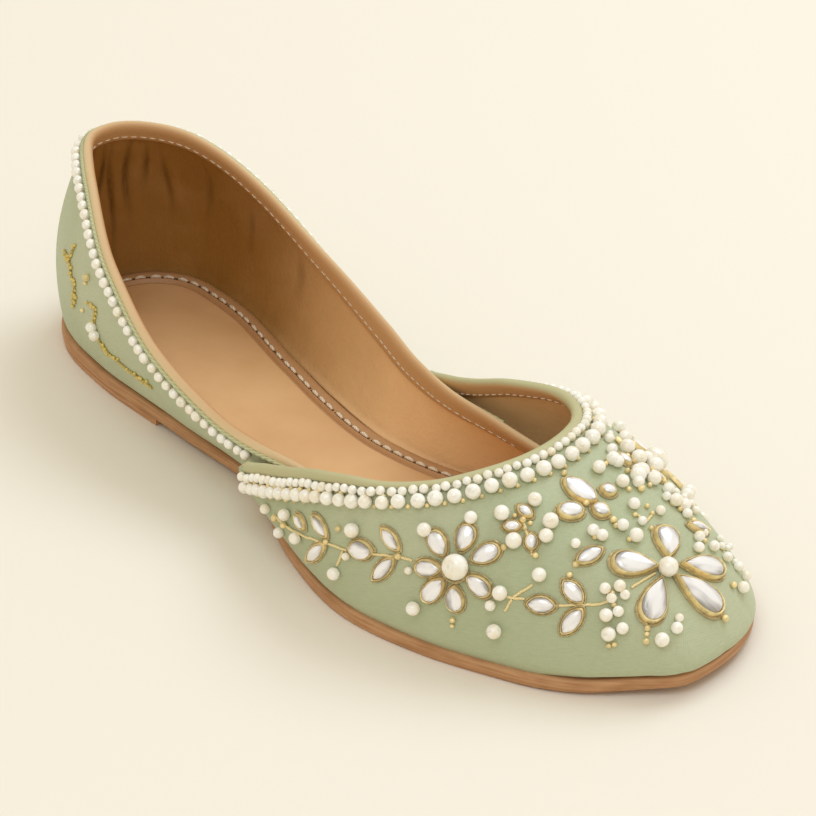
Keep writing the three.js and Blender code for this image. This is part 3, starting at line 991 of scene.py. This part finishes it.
COLLAR_SECTION = (
    (1.0, -0.2), (1.15, 0.3), (1.2, 1.1), (1.05, 1.85), (0.6, 2.4), (0, 2.6), (-0.65, 2.45), (-1.2, 1.95),
    (-1.5, 1.2), (-1.6, 0.2), (-1.62, -1.1), (-1.66, -1.9), (-1.8, -2.9), (-1.55, -3.3), (-1.2, -3.0),
    (-1.1, 0.1),
)
THROAT_SECTION = (
    (1.2, -0.7), (1.5, -0.4), (1.6, 0.5), (1.25, 1.5), (0.5, 2.15), (-0.4, 2.2), (-1.2, 1.6), (-1.6, 0.6),
    (-1.6, -1.4), (-1.65, -2.6), (-1.45, -2.9), (-1.1, -2.6), (-1.05, 0.05), (1.05, 0.05),
)
COLLAR_END = 0.955
THROAT_END = 0.985
PIPING_END = 0.9
EDGE_STEPS = 260


def edge_line(face, across, high):
    """A curve beside a wall's top edge, as a function of along."""
    def point(along):
        centre, out, up = edge_frame(face, along)
        return centre + out * across * MM + up * high * MM

    return point


def edge_sweep(name, face, end, section, material, nodes=(), span=(1, 1)):
    bm = bmesh.new()
    sweep(bm, EDGE_STEPS, section, lambda s: edge_frame(face, mix(-end, end, s)), span)
    bmesh.ops.recalc_face_normals(bm, faces=bm.faces)
    return make_piece(name, bm, find_material(material), nodes, 50)


def add_stitches(bm, point, out_at, start, end, pitch, length, radius=0.24):
    """Short raised threads along a curve, each a small capsule that dips at both ends."""
    for parameter in evenly(point, start, end, pitch):
        step = 1e-3
        way = (point(parameter + step) - point(parameter - step)).normalized()
        out = out_at(parameter)
        side = way.cross(out).normalized()
        centre = point(parameter)
        ring_steps = 6

        def shape(s, t):
            angle = t * TAU
            swell = math.sin(math.pi * mix(0.06, 0.94, s)) ** 0.5
            middle = centre + way * (s - 0.5) * length * MM + out * (radius * (swell - 0.2)) * MM
            ring = side * math.cos(angle) + out * math.sin(angle)
            return middle + ring * radius * swell * MM

        grid(bm, 5, ring_steps, shape, (length * MM, radius * 6 * MM))


def finish_small(name, bm, material, nodes=(), sharp=60):
    bmesh.ops.remove_doubles(bm, verts=bm.verts, dist=1e-6)
    close_holes(bm)
    bmesh.ops.recalc_face_normals(bm, faces=bm.faces)
    return make_piece(name, bm, find_material(material), nodes, sharp)


def make_collar_binding():
    edge_sweep("collar_roll", quarter_point, COLLAR_END, COLLAR_SECTION, "roll_leather",
               ("collar_binding",))
    edge_sweep("collar_piping", quarter_point, PIPING_END, round_section(0.6, 12, 1.42, 0.35),
               "piping_thread", (), (0.45, 0.004))


def make_throat_binding():
    edge_sweep("throat_fold", vamp_point, THROAT_END, THROAT_SECTION, "throat_silk",
               ("throat_binding",))


# Seams beside a top edge: name, wall, how far outward and up in millimetres, end, slot
EDGE_SEAMS = (
    ("collar_stitches", quarter_point, -1.68, -1.9, 0.92, "cream_binding"),
    ("throat_stitches", vamp_point, -1.62, -1.8, 0.96, "lining_leather"),
)


def make_stitches():
    pitch = sizes().stitch_pitch / MM
    length = sizes().stitch_length / MM
    bm = bmesh.new()

    def insole_seam(turn):
        flat = outline_inset(turn, insole_inset(turn) + INSOLE_BAND * 0.72)
        return place(flat.x, flat.y, sole_top(flat.y) + 2.56)

    ends = (-math.pi + 0.3, math.pi - 0.3)
    add_stitches(bm, insole_seam, lambda turn: Vector((0, 0, 1)), *ends, pitch, length, 0.5)
    finish_small("insole_stitches", bm, "sewing_thread")
    bm = bmesh.new()
    # flat dark discs at both ends of each stitch are painted shade in the needle holes
    for turn in evenly(insole_seam, *ends, pitch):
        way = (insole_seam(turn + 1e-3) - insole_seam(turn - 1e-3)).normalized()
        for side in (-0.5, 0.5):
            hole = insole_seam(turn) + way * side * (length + 0.5) * MM - Vector((0, 0, 0.05)) * MM
            add_pearl(bm, hole, 0.95, False, 0.3, Vector((0, 0, 1)))
    finish_small("stitch_hole_shades", bm, "stitch_hole_shade")
    for name, face, across, high, end, slot in EDGE_SEAMS:
        bm = bmesh.new()
        inwards = lambda along: -edge_frame(face, along)[1]
        add_stitches(bm, edge_line(face, across, high), inwards, -end, end, 2.6, 1.7, 0.16)
        finish_small(name, bm, "sewing_thread")


# Pearls


def add_pearl(bm, centre, diameter, finer=False, squash=1.0, up=None):
    made = bmesh.ops.create_icosphere(bm, subdivisions=3 if finer else 2, radius=diameter / 2 * MM)
    turn = Matrix()
    if up is not None:
        turn = up.to_track_quat("Z", "Y").to_matrix().to_4x4() @ Matrix.Diagonal((1, 1, squash, 1))
    bmesh.ops.transform(bm, matrix=Matrix.Translation(centre) @ turn, verts=made["verts"])


def wall_row(face, along, depth):
    """Point and outward way on a wall's outer face, a distance down from its top edge."""
    height = (face(along, 1) - face(along, 0.9)).length / MM * 10
    rise = 1 - depth / height
    return face(along, rise), face_normal(face, along, rise)


COLLAR_PEARL_END = 0.775
COLLAR_PEARL_DEPTH = 1.9


def make_pearl_rows():
    chance = random.Random(7)
    bm = bmesh.new()
    size = sizes().collar_pearl / MM
    line = lambda along: wall_row(quarter_point, along, COLLAR_PEARL_DEPTH)[0]
    for along in evenly(line, -COLLAR_PEARL_END, COLLAR_PEARL_END, sizes().collar_pitch / MM):
        point, out = wall_row(quarter_point, along, COLLAR_PEARL_DEPTH + chance.uniform(-0.12, 0.12))
        grown = size * chance.uniform(0.93, 1.05)
        add_pearl(bm, point + out * grown * 0.4 * MM, grown)
    make_piece("collar_pearl_row", bm, find_material("pearl"), (), 60)

    bm = bmesh.new()
    size = sizes().throat_pearl / MM
    line = lambda along: wall_row(vamp_point, along, 1.4)[0]
    for along in evenly(line, -0.985, 0.985, sizes().throat_pitch / MM):
        point, out = wall_row(vamp_point, along, 1.7 + chance.uniform(-0.3, 0.3))
        grown = size * chance.uniform(0.93, 1.05)
        add_pearl(bm, point + out * grown * 0.4 * MM, grown)

    beads = bmesh.new()
    share = lambda along: 1 - abs(along) ** 2.2
    row_depth = lambda along: mix(4.4, 5.6, share(along))
    line = lambda along: wall_row(vamp_point, along, row_depth(along))[0]
    pitch = lambda along: mix(3.7, 4.9, share(along))
    for along in evenly(line, -0.975, 0.975, pitch):
        grown = mix(3.3, 4.2, share(along)) * chance.uniform(0.94, 1.05)
        point, out = wall_row(vamp_point, along, row_depth(along) + chance.uniform(-0.15, 0.15))
        add_pearl(bm, point + out * grown * 0.4 * MM, grown, True)
        between = along + pitch(along) / 2 / 190
        point, out = wall_row(vamp_point, between, row_depth(between) - 1.7)
        add_pearl(beads, point + out * 0.8 * MM, 1.6)
        point, out = wall_row(vamp_point, between, row_depth(between) + 1.6)
        add_pearl(beads, point + out * 0.5 * MM, 1.3)
    make_piece("throat_pearl_rows", bm, find_material("pearl"), (), 60)
    make_piece("throat_gold_beads", beads, find_material("gold"), (), 60)


# Ornaments: where each lies is read off the photo as pixels, and seated on the wall behind


class Wall:
    """A wall's outer face as a fine mesh that finds its nearest place to any point."""

    def __init__(self, face, columns, rows):
        self.face = face
        self.columns = columns
        self.rows = rows
        lines = [mix(-1, 1, i / columns) for i in range(columns + 1)]
        verts = [face(along, j / rows) for along in lines for j in range(rows + 1)]
        quads = []
        for i in range(columns):
            for j in range(rows):
                corner = i * (rows + 1) + j
                quads.append((corner, corner + rows + 1, corner + rows + 2, corner + 1))
        self.verts = verts
        self.tree = BVHTree.FromPolygons(verts, quads)

    def nearest(self, point):
        """(along, rise) and the gap in metres of the wall's nearest place."""
        spot, normal, index, gap = self.tree.find_nearest(point)
        i, j = divmod(index, self.rows)
        corner = self.verts[i * (self.rows + 1) + j]
        ahead = self.verts[(i + 1) * (self.rows + 1) + j] - corner
        above = self.verts[i * (self.rows + 1) + j + 1] - corner
        gone = spot - corner
        share = gone.dot(ahead) / max(ahead.length_squared, 1e-12)
        raised = gone.dot(above) / max(above.length_squared, 1e-12)
        along = mix(-1, 1, (i + min(max(share, 0), 1)) / self.columns)
        return along, (j + min(max(raised, 0), 1)) / self.rows, gap

    def seen(self, pixel, height):
        """(along, rise) under a photo pixel of something whose seen middle stands at height mm."""
        origin, way = photo_ray(*pixel)
        travelled = (PHOTO_DISTANCE - 190) * MM
        best = (1.0, 0.0, 0.5)
        for _ in range(160):
            along, rise, gap = self.nearest(origin + way * travelled)
            if gap < best[0]:
                best = (gap, along, rise)
            if gap < height * MM + 3e-5 or gap > best[0] + 3 * MM:
                break
            travelled += max(gap - height * MM, 5e-5)
        return best[1], best[2]

    def seat(self, place_on):
        """Point, outward way and the way towards the wall's top, at (along, rise)."""
        along, rise = place_on
        rise = min(max(rise, 0.01), 0.99)
        point = self.face(along, rise)
        out = face_normal(self.face, along, rise)
        up = self.face(along, rise + 0.01) - point
        up = (up - out * up.dot(out)).normalized()
        return point, out, up


def mirrored(place_on):
    return -place_on[0], place_on[1]


def marquise(angle):
    """Pointed at both ends."""
    return math.cos(angle), math.sin(angle) * abs(math.sin(angle)) ** 0.45


def teardrop(angle):
    """Pointed at the near end, round at the far end."""
    return math.cos(angle), math.sin(angle) * math.sqrt((1 + math.cos(angle)) / 2) / 0.77


def petal(angle):
    """A teardrop that is nearly an oval."""
    return math.cos(angle), math.sin(angle) * ((1 + math.cos(angle)) / 2) ** 0.2 / 0.93


def oval(angle):
    return math.cos(angle), math.sin(angle)


def add_ring(bm, rows, sides, at_row, closed):
    """A grid round an outline; each row is a place in the section."""
    count = len(rows)
    steps = count if closed else count - 1

    def point(s, t):
        return at_row(rows[round(t * steps) % count], TAU * s)

    return grid(bm, sides, steps, point, (TAU, 1))


def add_setting(sets, start, end, width, height, shape, sides=22):
    """A stone in a gold rim with a twisted cord round its foot.

    start and end are seats (point, outward way, up way) under its two tips."""
    gold, stones, cords = sets["gold"], sets["stone"], sets["cord"]
    wall = sizes().bezel_wall / MM * (0.8 if height < 2 else 1)
    ahead = end[0] - start[0]
    out = (start[1] + end[1]).normalized()
    half_long = ahead.length / MM / 2
    ahead = (ahead - out * ahead.dot(out)).normalized()
    beside = out.cross(ahead)
    middle = (start[0] + end[0]) / 2
    lift = 0.25 * half_long * start[1].angle(end[1]) / 2
    half_wide = width / 2

    def spot(angle, inset, z):
        across, over = shape(angle)
        long_side = half_long - inset * 1.35
        wide_side = half_wide - inset
        return middle + (ahead * across * long_side + beside * over * wide_side + out * (z + lift)) * MM

    rim = [(0, -1.6), (0, height * 0.5), (0.08, height - 0.45), (0.22, height - 0.08), (wall * 0.55, height),
           (wall * 0.9, height - 0.15), (wall, height - 0.6), (wall, -1.6)]
    add_ring(gold, rim, sides, lambda row, angle: spot(angle, *row), True)
    glass = [(wall - 0.12, height - 0.75), (wall, height - 0.32), (wall * 1.25, height - 0.02)]
    low_z, top = height - 0.02, height + 0.3 + 0.03 * width
    for share in (0.25, 0.5, 0.75, 0.999):
        inset = mix(wall * 1.25, half_wide, share)
        glass.append((inset, mix(low_z, top, 1 - (1 - share) ** 2)))

    def glass_spot(row, angle):
        inset, z = row
        across, over = shape(angle)
        share = (half_wide - inset) / half_wide
        return (middle + (ahead * across * half_long + beside * over * half_wide) * share * MM
                + out * (z + lift) * MM)

    made = add_ring(stones, glass, sides, glass_spot, False)
    uv = stones.loops.layers.uv.active
    for face in {face for vert in made for face in vert.link_faces}:
        for loop in face.loops:
            gap = loop.vert.co - middle
            loop[uv].uv = (gap.dot(ahead) / (half_long * MM), gap.dot(beside) / (half_wide * MM))
    cord = 0.34 if height > 2 else 0.26
    ring = [(cord * math.cos(TAU * k / 6), cord * math.sin(TAU * k / 6)) for k in range(6)]
    add_ring(cords, ring, sides + 8, lambda row, angle: spot(angle, -0.3 + row[0], 0.28 + row[1]), True)


def add_bead(bm, seat, diameter, squash=1.0, finer=False):
    """A pearl or bead that is sunk into the wall by a tenth of its diameter."""
    point, out = seat[:2]
    centre = point + out * diameter * (0.5 * squash - 0.1) * MM
    add_pearl(bm, centre, diameter, finer, squash, out)


CORD_SIDES = 6
CORD_PITCH = 1.0


def add_cord(bm, wall, places, radius):
    """A thread that follows the wall through places given as (along, rise)."""
    points = []
    for first, second in zip(places, places[1:]):
        a, b = wall.seat(first)[0], wall.seat(second)[0]
        steps = max(int((b - a).length / MM / CORD_PITCH), 1)
        for i in range(steps):
            points.append(a.lerp(b, i / steps))
    points.append(wall.seat(places[-1])[0])
    seats = []
    for point in points:
        along, rise, gap = wall.nearest(point)
        seats.append(wall.seat((along, rise)))
    frames = []
    for i, (point, out, up) in enumerate(seats):
        before, after = seats[max(i - 1, 0)][0], seats[min(i + 1, len(seats) - 1)][0]
        way = (after - before).normalized()
        side = way.cross(out).normalized()
        frames.append((point + out * radius * 0.7 * MM, side, out))
    length = sum((a[0] - b[0]).length for a, b in zip(frames, frames[1:]))
    last = len(frames) - 1

    def tube(s, t):
        centre, side, out = frames[round(s * last)]
        angle = TAU * t
        return centre + (side * math.cos(angle) + out * math.sin(angle)) * radius * MM

    grid(bm, last, CORD_SIDES, tube, (length, radius * 6 * MM))


# Settings, in photo pixels from one tip to the other, with width and height in millimetres
TOE_PETALS = (
    ((515.6, 562), (476, 557.6), 6.8, 2.2),
    ((524, 555.6), (522, 528.4), 7.2, 2.2),
    ((533, 560), (571, 565), 6.6, 2.2),
    ((529, 569), (569, 600), 8.0, 2.2),
    ((518, 570), (506, 609), 7.4, 2.2),
)
SIDE_PETALS = (
    ((337.5, 555), (327, 533), 5.3, 1.7),
    ((350.8, 551), (359.4, 527), 5.5, 1.7),
    ((359.4, 558.8), (384, 546.4), 5.3, 1.7),
    ((355.6, 571), (374.6, 587.3), 5.3, 1.7),
    ((345, 577.8), (346, 601.5), 5.5, 1.7),
    ((336.6, 573), (319.5, 592), 5.3, 1.7),
    ((335.2, 564.5), (312.8, 564.5), 5.1, 1.7),
)
LEAVES = (
    ((285.6, 530.7), (300, 550.5), 4.1, 1.3),
    ((278, 574.7), (296, 556), 4.1, 1.3),
    ((258, 548.3), (279, 550.5), 5.6, 1.5),
    ((228.8, 519.7), (240.5, 539.5), 3.9, 1.3),
    ((223.6, 558.6), (239.4, 543.9), 3.9, 1.3),
    ((214, 518.6), (221.8, 533), 3.2, 1.5),
    ((398.3, 512), (411.6, 520.8), 3.2, 1.5),
    ((386, 529.3), (402, 529), 3.2, 1.5),
    ((409.7, 534), (410, 550), 3.6, 1.5),
)
TOE_LEAVES = (
    ((435, 574), (452, 593), 4.7, 1.4),
    ((433, 619), (452, 597), 4.7, 1.4),
    ((404, 594), (429.7, 596), 4.7, 1.4),
    ((446, 559), (470, 547), 4.2, 1.8),
    ((437, 489), (464.4, 509), 6.3, 1.9),
    ((460, 512), (475, 519), 4.5, 1.8),
    ((467, 497), (481, 501), 4.0, 1.8),
    ((540, 527), (558, 534), 3.6, 1.8),
)
TOE_OVAL = ((431.5, 515.4), (454.5, 515.4), 5.2, 2.0)

# Pearls: photo pixel of the middle, and diameter in millimetres
SIDE_PEARLS = (
    (321.4, 532.5, 3.8), (360.7, 522, 3.5), (384, 584.4, 4.0), (308.4, 566, 2.1), (311.9, 597.7, 3.8),
    (375.5, 595.4, 2.9), (416, 569.8, 3.8), (378.7, 616.5, 4.0), (385.6, 518.3, 4.1), (412.6, 507.5, 3.8),
    (425.9, 525.1, 4.3), (422, 537.5, 3.8), (394.9, 541.7, 4.3), (261.8, 533, 4.0), (257.4, 554.2, 2.2),
    (246.7, 568.5, 3.5), (215.2, 539.5, 3.3), (206.4, 519.7, 3.3), (202, 535, 3.0), (191, 515.3, 2.8),
)
TOE_PEARLS = (
    (516.6, 623.6, 4.3), (529, 613.6, 3.6), (531, 605.6, 2.6), (470, 581, 3.4), (482, 579, 3.6),
    (487, 586, 3.0), (475.6, 589, 3.1), (481, 600, 3.3), (471, 603, 4.0), (472.4, 618.6, 4.3),
    (484, 614, 3.6), (446, 544, 3.0), (461, 533, 3.6), (468, 537.4, 3.6), (474.4, 458, 3.0),
    (476.6, 467, 3.3), (481, 477, 3.8), (465.6, 481.4, 4.0), (499, 474, 4.7), (501, 484, 4.5),
    (485, 493, 4.0), (498, 494, 3.6), (494.4, 511.6, 3.6), (516, 517.6, 3.0), (485, 529, 3.6),
    (496, 537.4, 4.3), (523, 500, 3.6), (529, 509, 4.0), (536, 513, 4.0), (548, 539, 3.3),
    (547.4, 548, 3.3), (560, 547, 3.3), (565, 541, 2.2), (571, 556, 3.0), (573, 548, 2.2),
    (580, 564, 3.0), (586.4, 572, 3.0), (584, 581, 3.6), (538, 520, 3.0), (475, 455, 2.1), (541, 512.5, 2.6),
    (535.6, 507, 2.3), (577, 560.6, 2.0), (571, 549, 1.9), (506, 474, 3.6), (497, 484, 3.4), (521, 506, 2.7),
    (499, 493, 3.0), (501, 526, 2.8), (509, 480, 3.0), (529, 503, 2.4), (545, 518, 2.6), (552, 536, 2.4),
    (566, 547, 2.2),
)

# The pearls in the middle of the flowers, and the cord round the side flower's one
TOE_MIDDLE = (523.4, 562.4, 5.3)
SIDE_MIDDLE = (346.6, 563.5, 7.0)
SIDE_MIDDLE_CORD = (346.6, 564.5, 6.9)

# Gold beads: photo pixel of the middle, and diameter in millimetres
SIDE_BEADS = (
    (387, 547.4, 1.7), (344.6, 607, 1.6), (344.8, 611.5, 1.2), (413.5, 553.4, 1.6), (251, 531, 1.6),
    (198.7, 523, 1.9), (206, 528.5, 1.9), (299.9, 553.8, 1.8), (241, 542.4, 1.6), (403, 524, 1.8),
    (396, 521.5, 1.3), (409, 527.5, 1.3), (404.5, 531.5, 1.3),
)
TOE_BEADS = (
    (568.5, 606.5, 2.0), (504.5, 613.6, 1.7), (504, 618.5, 1.3), (503.6, 625, 1.8), (472.4, 628.5, 1.4),
    (477.6, 627.5, 1.4), (441.5, 569.5, 1.6), (446, 561.5, 1.7), (437, 486.5, 1.7), (477, 525, 1.9),
    (473, 475, 1.6), (492, 470, 1.6), (500, 500, 1.8), (507, 497, 1.4), (575.6, 579, 1.8), (455, 511, 1.9),
    (476, 585, 1.5), (477, 595, 1.5), (509, 520, 1.3), (495, 521, 1.3), (508, 532, 1.3), (490, 500, 1.4),
    (552, 543, 1.4), (567, 550, 1.2), (577, 560, 1.2), (489, 485, 1.6), (496, 496, 1.5), (501, 499, 1.5),
    (474, 475, 1.6), (471, 479, 1.4), (515, 490, 1.7), (519, 494, 1.6), (511, 487, 1.7), (526, 512, 1.5),
    (532, 517, 1.5), (489, 473, 1.5), (543, 526, 1.6), (548, 530, 1.6), (505, 514, 1.4), (479, 530, 1.5),
    (490, 541, 1.5), (462, 539, 1.4),
)

# Threads and bars of gold: photo pixels they pass through
SIDE_THREADS = (
    ((312, 557), (299.9, 553.8), (278, 551.6)),
    ((258, 549), (241, 542.4), (226, 538), (214, 533), (198, 520)),
    ((254.8, 549.4), (250, 561.5)),
    ((411, 553), (404, 526)),
    ((389.8, 588), (404, 589)),
    ((395.5, 587), (410.7, 576.8)),
    ((393.6, 590), (387.9, 599.6)),
)
TOE_THREADS = (
    ((420, 595), (467, 594)),
    ((467, 594), (480, 589)),
    ((511, 569), (492, 580)),
    ((495, 520), (504, 527), (510, 520)),
)
TOE_BARS = (
    ((481, 459), (491, 469)),
    ((508, 484), (520, 494)),
    ((511, 481), (524, 491)),
)

# Gold thread on the quarter behind the heel side, sewn as close coils
HEEL_THREADS = (
    ((27.5, 303), (31, 311), (32.5, 322), (35.5, 333), (35, 343), (34, 349)),
    ((36, 299), (31, 311)),
    ((47, 347), (53, 351), (51.5, 362), (54, 374), (59, 382), (64, 388), (71, 394), (79, 401), (86, 406),
     (93, 411), (99, 416)),
)
HEEL_BEADS = ((45, 325, 2.1), (44.5, 330, 1.2), (42, 352, 1.2))
HEEL_PEARLS = ((49, 366, 3.1), (51.5, 373, 3.1))


def add_group(sets, wall, settings, shape, both):
    sides = {True: (1, -1), False: (1,)}[both]
    for start, end, width, height in settings:
        first, second = wall.seen(start, height), wall.seen(end, height)
        for side in sides:
            a = first if side == 1 else mirrored(first)
            b = second if side == 1 else mirrored(second)
            add_setting(sets, wall.seat(a), wall.seat(b), width, height, shape,
                        26 if height > 2 else 20)


def add_beads(bm, wall, beads, both, share=0.45, finer=False, squash=1.0):
    for x, y, diameter in beads:
        found = wall.seen((x, y), diameter * share)
        for place_on in (found, mirrored(found)) if both else (found,):
            add_bead(bm, wall.seat(place_on), diameter, squash, finer)


def add_threads(bm, wall, threads, both, radius=0.36):
    for pixels in threads:
        found = [wall.seen(pixel, radius) for pixel in pixels]
        add_cord(bm, wall, found, radius)
        if both:
            add_cord(bm, wall, [mirrored(place_on) for place_on in found], radius)


def add_middle_cord(bm, seat, diameter):
    """A cord round the foot of the pearl in a flower's middle."""
    point, out, up = seat
    side = up.cross(out)
    ring = [(0.42 * math.cos(TAU * k / 8), 0.5 + 0.42 * math.sin(TAU * k / 8)) for k in range(8)]

    def spot(row, angle):
        reach = diameter / 2 + row[0]
        return point + (side * math.cos(angle) + up * math.sin(angle)) * reach * MM + out * row[1] * MM

    add_ring(bm, ring, 32, spot, True)


def make_ornaments():
    """The set stones, pearls, beads and gold thread of the vamp and of the heel side."""
    vamp = Wall(vamp_point, 300, 90)
    sets = {"gold": bmesh.new(), "stone": bmesh.new(), "cord": bmesh.new()}
    pearls, beads = bmesh.new(), bmesh.new()
    add_group(sets, vamp, TOE_PETALS, teardrop, False)
    add_group(sets, vamp, SIDE_PETALS, petal, True)
    add_group(sets, vamp, LEAVES, marquise, True)
    add_group(sets, vamp, TOE_LEAVES, marquise, False)
    add_group(sets, vamp, (TOE_OVAL,), oval, False)
    add_beads(pearls, vamp, (TOE_MIDDLE,), False, 0.6, True)
    add_beads(pearls, vamp, (SIDE_MIDDLE,), True, 0.4, True, 0.8)
    add_beads(pearls, vamp, SIDE_PEARLS, True, 0.45, True)
    add_beads(pearls, vamp, [(x, y, 0.9 * size) for x, y, size in TOE_PEARLS], False, 0.45, True)
    add_beads(beads, vamp, SIDE_BEADS, True)
    add_beads(beads, vamp, TOE_BEADS, False)
    x, y, diameter = SIDE_MIDDLE_CORD
    found = vamp.seen((x, y), 0.6)
    for place_on in (found, mirrored(found)):
        add_middle_cord(sets["cord"], vamp.seat(place_on), diameter)
    add_threads(sets["cord"], vamp, SIDE_THREADS, True)
    add_threads(sets["cord"], vamp, TOE_THREADS, False)
    add_threads(beads, vamp, TOE_BARS, False, 0.9)

    heel = Wall(quarter_point, 240, 60)
    zari = bmesh.new()
    add_threads(zari, heel, HEEL_THREADS, True, 0.42)
    chance = random.Random(3)
    for pixels in HEEL_THREADS:
        for first, second in zip(pixels, pixels[1:]):
            for i in range(7):
                x = mix(first[0], second[0], i / 7) + chance.uniform(-1.5, 1.5)
                y = mix(first[1], second[1], i / 7) + chance.uniform(-1.5, 1.5)
                add_beads(zari, heel, ((x, y, chance.uniform(0.6, 1.15)),), True)
    finish_small("heel_zari", zari, "zari_thread", (), 70)
    add_beads(beads, heel, HEEL_BEADS, True)
    add_beads(pearls, heel, HEEL_PEARLS, True, 0.45, True)

    make_piece("ornament_pearls", pearls, find_material("pearl"), (), 60)
    finish_small("ornament_beads", beads, "gold")
    finish_small("stone_settings", sets["gold"], "gold", (), 50)
    finish_small("stones", sets["stone"], "set_stone", (), 50)
    finish_small("gold_cords", sets["cord"], "gold_thread", (), 70)


# Stage


WORLD_COLOUR = (1.0, 0.915, 0.76, 1)
WORLD_STRENGTH = 0.73
LAMP_COLOUR = (0.76, 0.87, 1.0)
LAMP_AIM = Vector((0, 0, 0.02))
# Lamps: name, the way from the shoe, distance and size in metres, energy in watts
LAMPS = (
    ("key", (0.75, 0.0, 1.1), 1.3, 0.9, 7.1),
    ("fill", (-0.6, -0.5, 1.2), 1.6, 0.9, 5.3),
)


def photo_ways():
    flat = Vector((math.sin(PHOTO_AZIMUTH), -math.cos(PHOTO_AZIMUTH), 0))
    out = flat * math.cos(PHOTO_ELEVATION) + Vector((0, 0, math.sin(PHOTO_ELEVATION)))
    right = Vector((math.cos(PHOTO_AZIMUTH), math.sin(PHOTO_AZIMUTH), 0))
    return out, right, out.cross(right)


def photo_ray(pixel_x, pixel_y):
    """Where the photo's camera stands, and the way it looks through one pixel of the photo."""
    out, right, up = photo_ways()
    focal = PHOTO_PIXELS_PER_MM * PHOTO_DISTANCE
    origin = place(0, LENGTH / 2, 0) + out * PHOTO_DISTANCE * MM
    way = -out + right * (pixel_x - PHOTO_MIDDLE[0]) / focal - up * (pixel_y - PHOTO_MIDDLE[1]) / focal
    return origin, way.normalized()


def add_area_light(name, toward, distance, size, energy):
    light = bpy.data.lights.new(name, "AREA")
    light.shape = "DISK"
    light.size = size
    light.energy = energy
    light.color = LAMP_COLOUR
    lamp = bpy.data.objects.new(name, light)
    bpy.context.scene.collection.objects.link(lamp)
    lamp.location = LAMP_AIM + toward.normalized() * distance
    lamp.rotation_euler = toward.to_track_quat("Z", "Y").to_euler()


def make_stage():
    scene = bpy.context.scene
    bm = bmesh.new()
    bmesh.ops.create_grid(bm, x_segments=1, y_segments=1, size=3)
    mesh = bpy.data.meshes.new("floor")
    bm.to_mesh(mesh)
    bm.free()
    floor = bpy.data.objects.new("floor", mesh)
    scene.collection.objects.link(floor)
    material, tree, shader = start_material("floor_paper")
    set_shader(tree, shader, {"Base Color": tuple(colours().floor), "Roughness": 0.9,
                              "Specular IOR Level": 0.1})
    mesh.materials.append(material)

    world = bpy.data.worlds.new("studio")
    world.use_nodes = True
    world.node_tree.nodes["Background"].inputs["Color"].default_value = WORLD_COLOUR
    world.node_tree.nodes["Background"].inputs["Strength"].default_value = WORLD_STRENGTH
    scene.world = world
    for name, toward, distance, size, energy in LAMPS:
        add_area_light(name, Vector(toward), distance, size, energy)

    camera = bpy.data.objects.new("camera", bpy.data.cameras.new("camera"))
    scene.collection.objects.link(camera)
    origin, way = photo_ray(*FRAME_MIDDLE)
    camera.location = origin
    camera.rotation_euler = (-way).to_track_quat("Z", "Y").to_euler()
    focal = PHOTO_PIXELS_PER_MM * PHOTO_DISTANCE * FRAME_ZOOM
    camera.data.sensor_width = 36
    camera.data.lens = focal * camera.data.sensor_width / PHOTO_SIZE
    camera.data.clip_start = 0.1
    camera.data.clip_end = 20
    scene.camera = camera
    scene.view_settings.view_transform = "Standard"


# The add-on's operators: each makes one group of pieces


def operator(idname, label, about, action):
    """An operator class that runs one function."""
    def execute(self, context):
        action()
        return {"FINISHED"}

    name = "SHOE_OT_" + idname
    members = {"bl_idname": "shoe." + idname, "bl_label": label, "__doc__": about, "execute": execute,
               "bl_options": {"REGISTER", "UNDO"}}
    return type(name, (bpy.types.Operator,), members)


STEPS = (
    ("fabric", "Make the silk upper", "Adds the silk of the vamp and of the quarters", make_fabric),
    ("lining", "Make the lining", "Adds the creased leather lining", make_lining),
    ("outsole", "Make the sole", "Adds the cut leather sole", make_outsole),
    ("heel", "Make the heel", "Adds the stacked heel lift", make_heel),
    ("insole", "Make the insole", "Adds the insole and its raised band", make_insole),
    ("collar_binding", "Bind the collar", "Adds the collar roll and its piping", make_collar_binding),
    ("throat_binding", "Bind the throat", "Adds the fold at the throat", make_throat_binding),
    ("stitches", "Sew the stitches", "Adds the stitches of insole, collar and throat", make_stitches),
    ("pearl_rows", "String the pearl rows", "Adds the pearls along the collar and the throat",
     make_pearl_rows),
    ("ornaments", "Sew the ornaments", "Adds the set stones, pearls, beads and gold thread",
     make_ornaments),
    ("stage", "Set the stage", "Adds the floor, the lights and the camera", make_stage),
)
OPERATORS = [operator(*step) for step in STEPS]


class SHOE_PT_panel(bpy.types.Panel):
    """Lists the shoe's operators and its sizes and colours."""

    bl_idname = "SHOE_PT_panel"
    bl_label = "Mojari shoe"
    bl_space_type = "VIEW_3D"
    bl_region_type = "UI"
    bl_category = "Shoe"

    def draw(self, context):
        for made in OPERATORS:
            self.layout.operator(made.bl_idname)
        for group in (context.scene.shoe_sizes, context.scene.shoe_colours):
            for key in type(group).__annotations__:
                self.layout.prop(group, key)


CLASSES = (ShoeColours, ShoeSizes, *OPERATORS, SHOE_PT_panel)


def register():
    for made in CLASSES:
        bpy.utils.register_class(made)
    bpy.types.Scene.shoe_colours = bpy.props.PointerProperty(type=ShoeColours)
    bpy.types.Scene.shoe_sizes = bpy.props.PointerProperty(type=ShoeSizes)


def unregister():
    del bpy.types.Scene.shoe_sizes
    del bpy.types.Scene.shoe_colours
    for made in reversed(CLASSES):
        bpy.utils.unregister_class(made)


def main():
    register()
    build_groups()
    for idname, label, about, action in STEPS:
        getattr(bpy.ops.shoe, idname)()


if __name__ == "__main__":
    main()
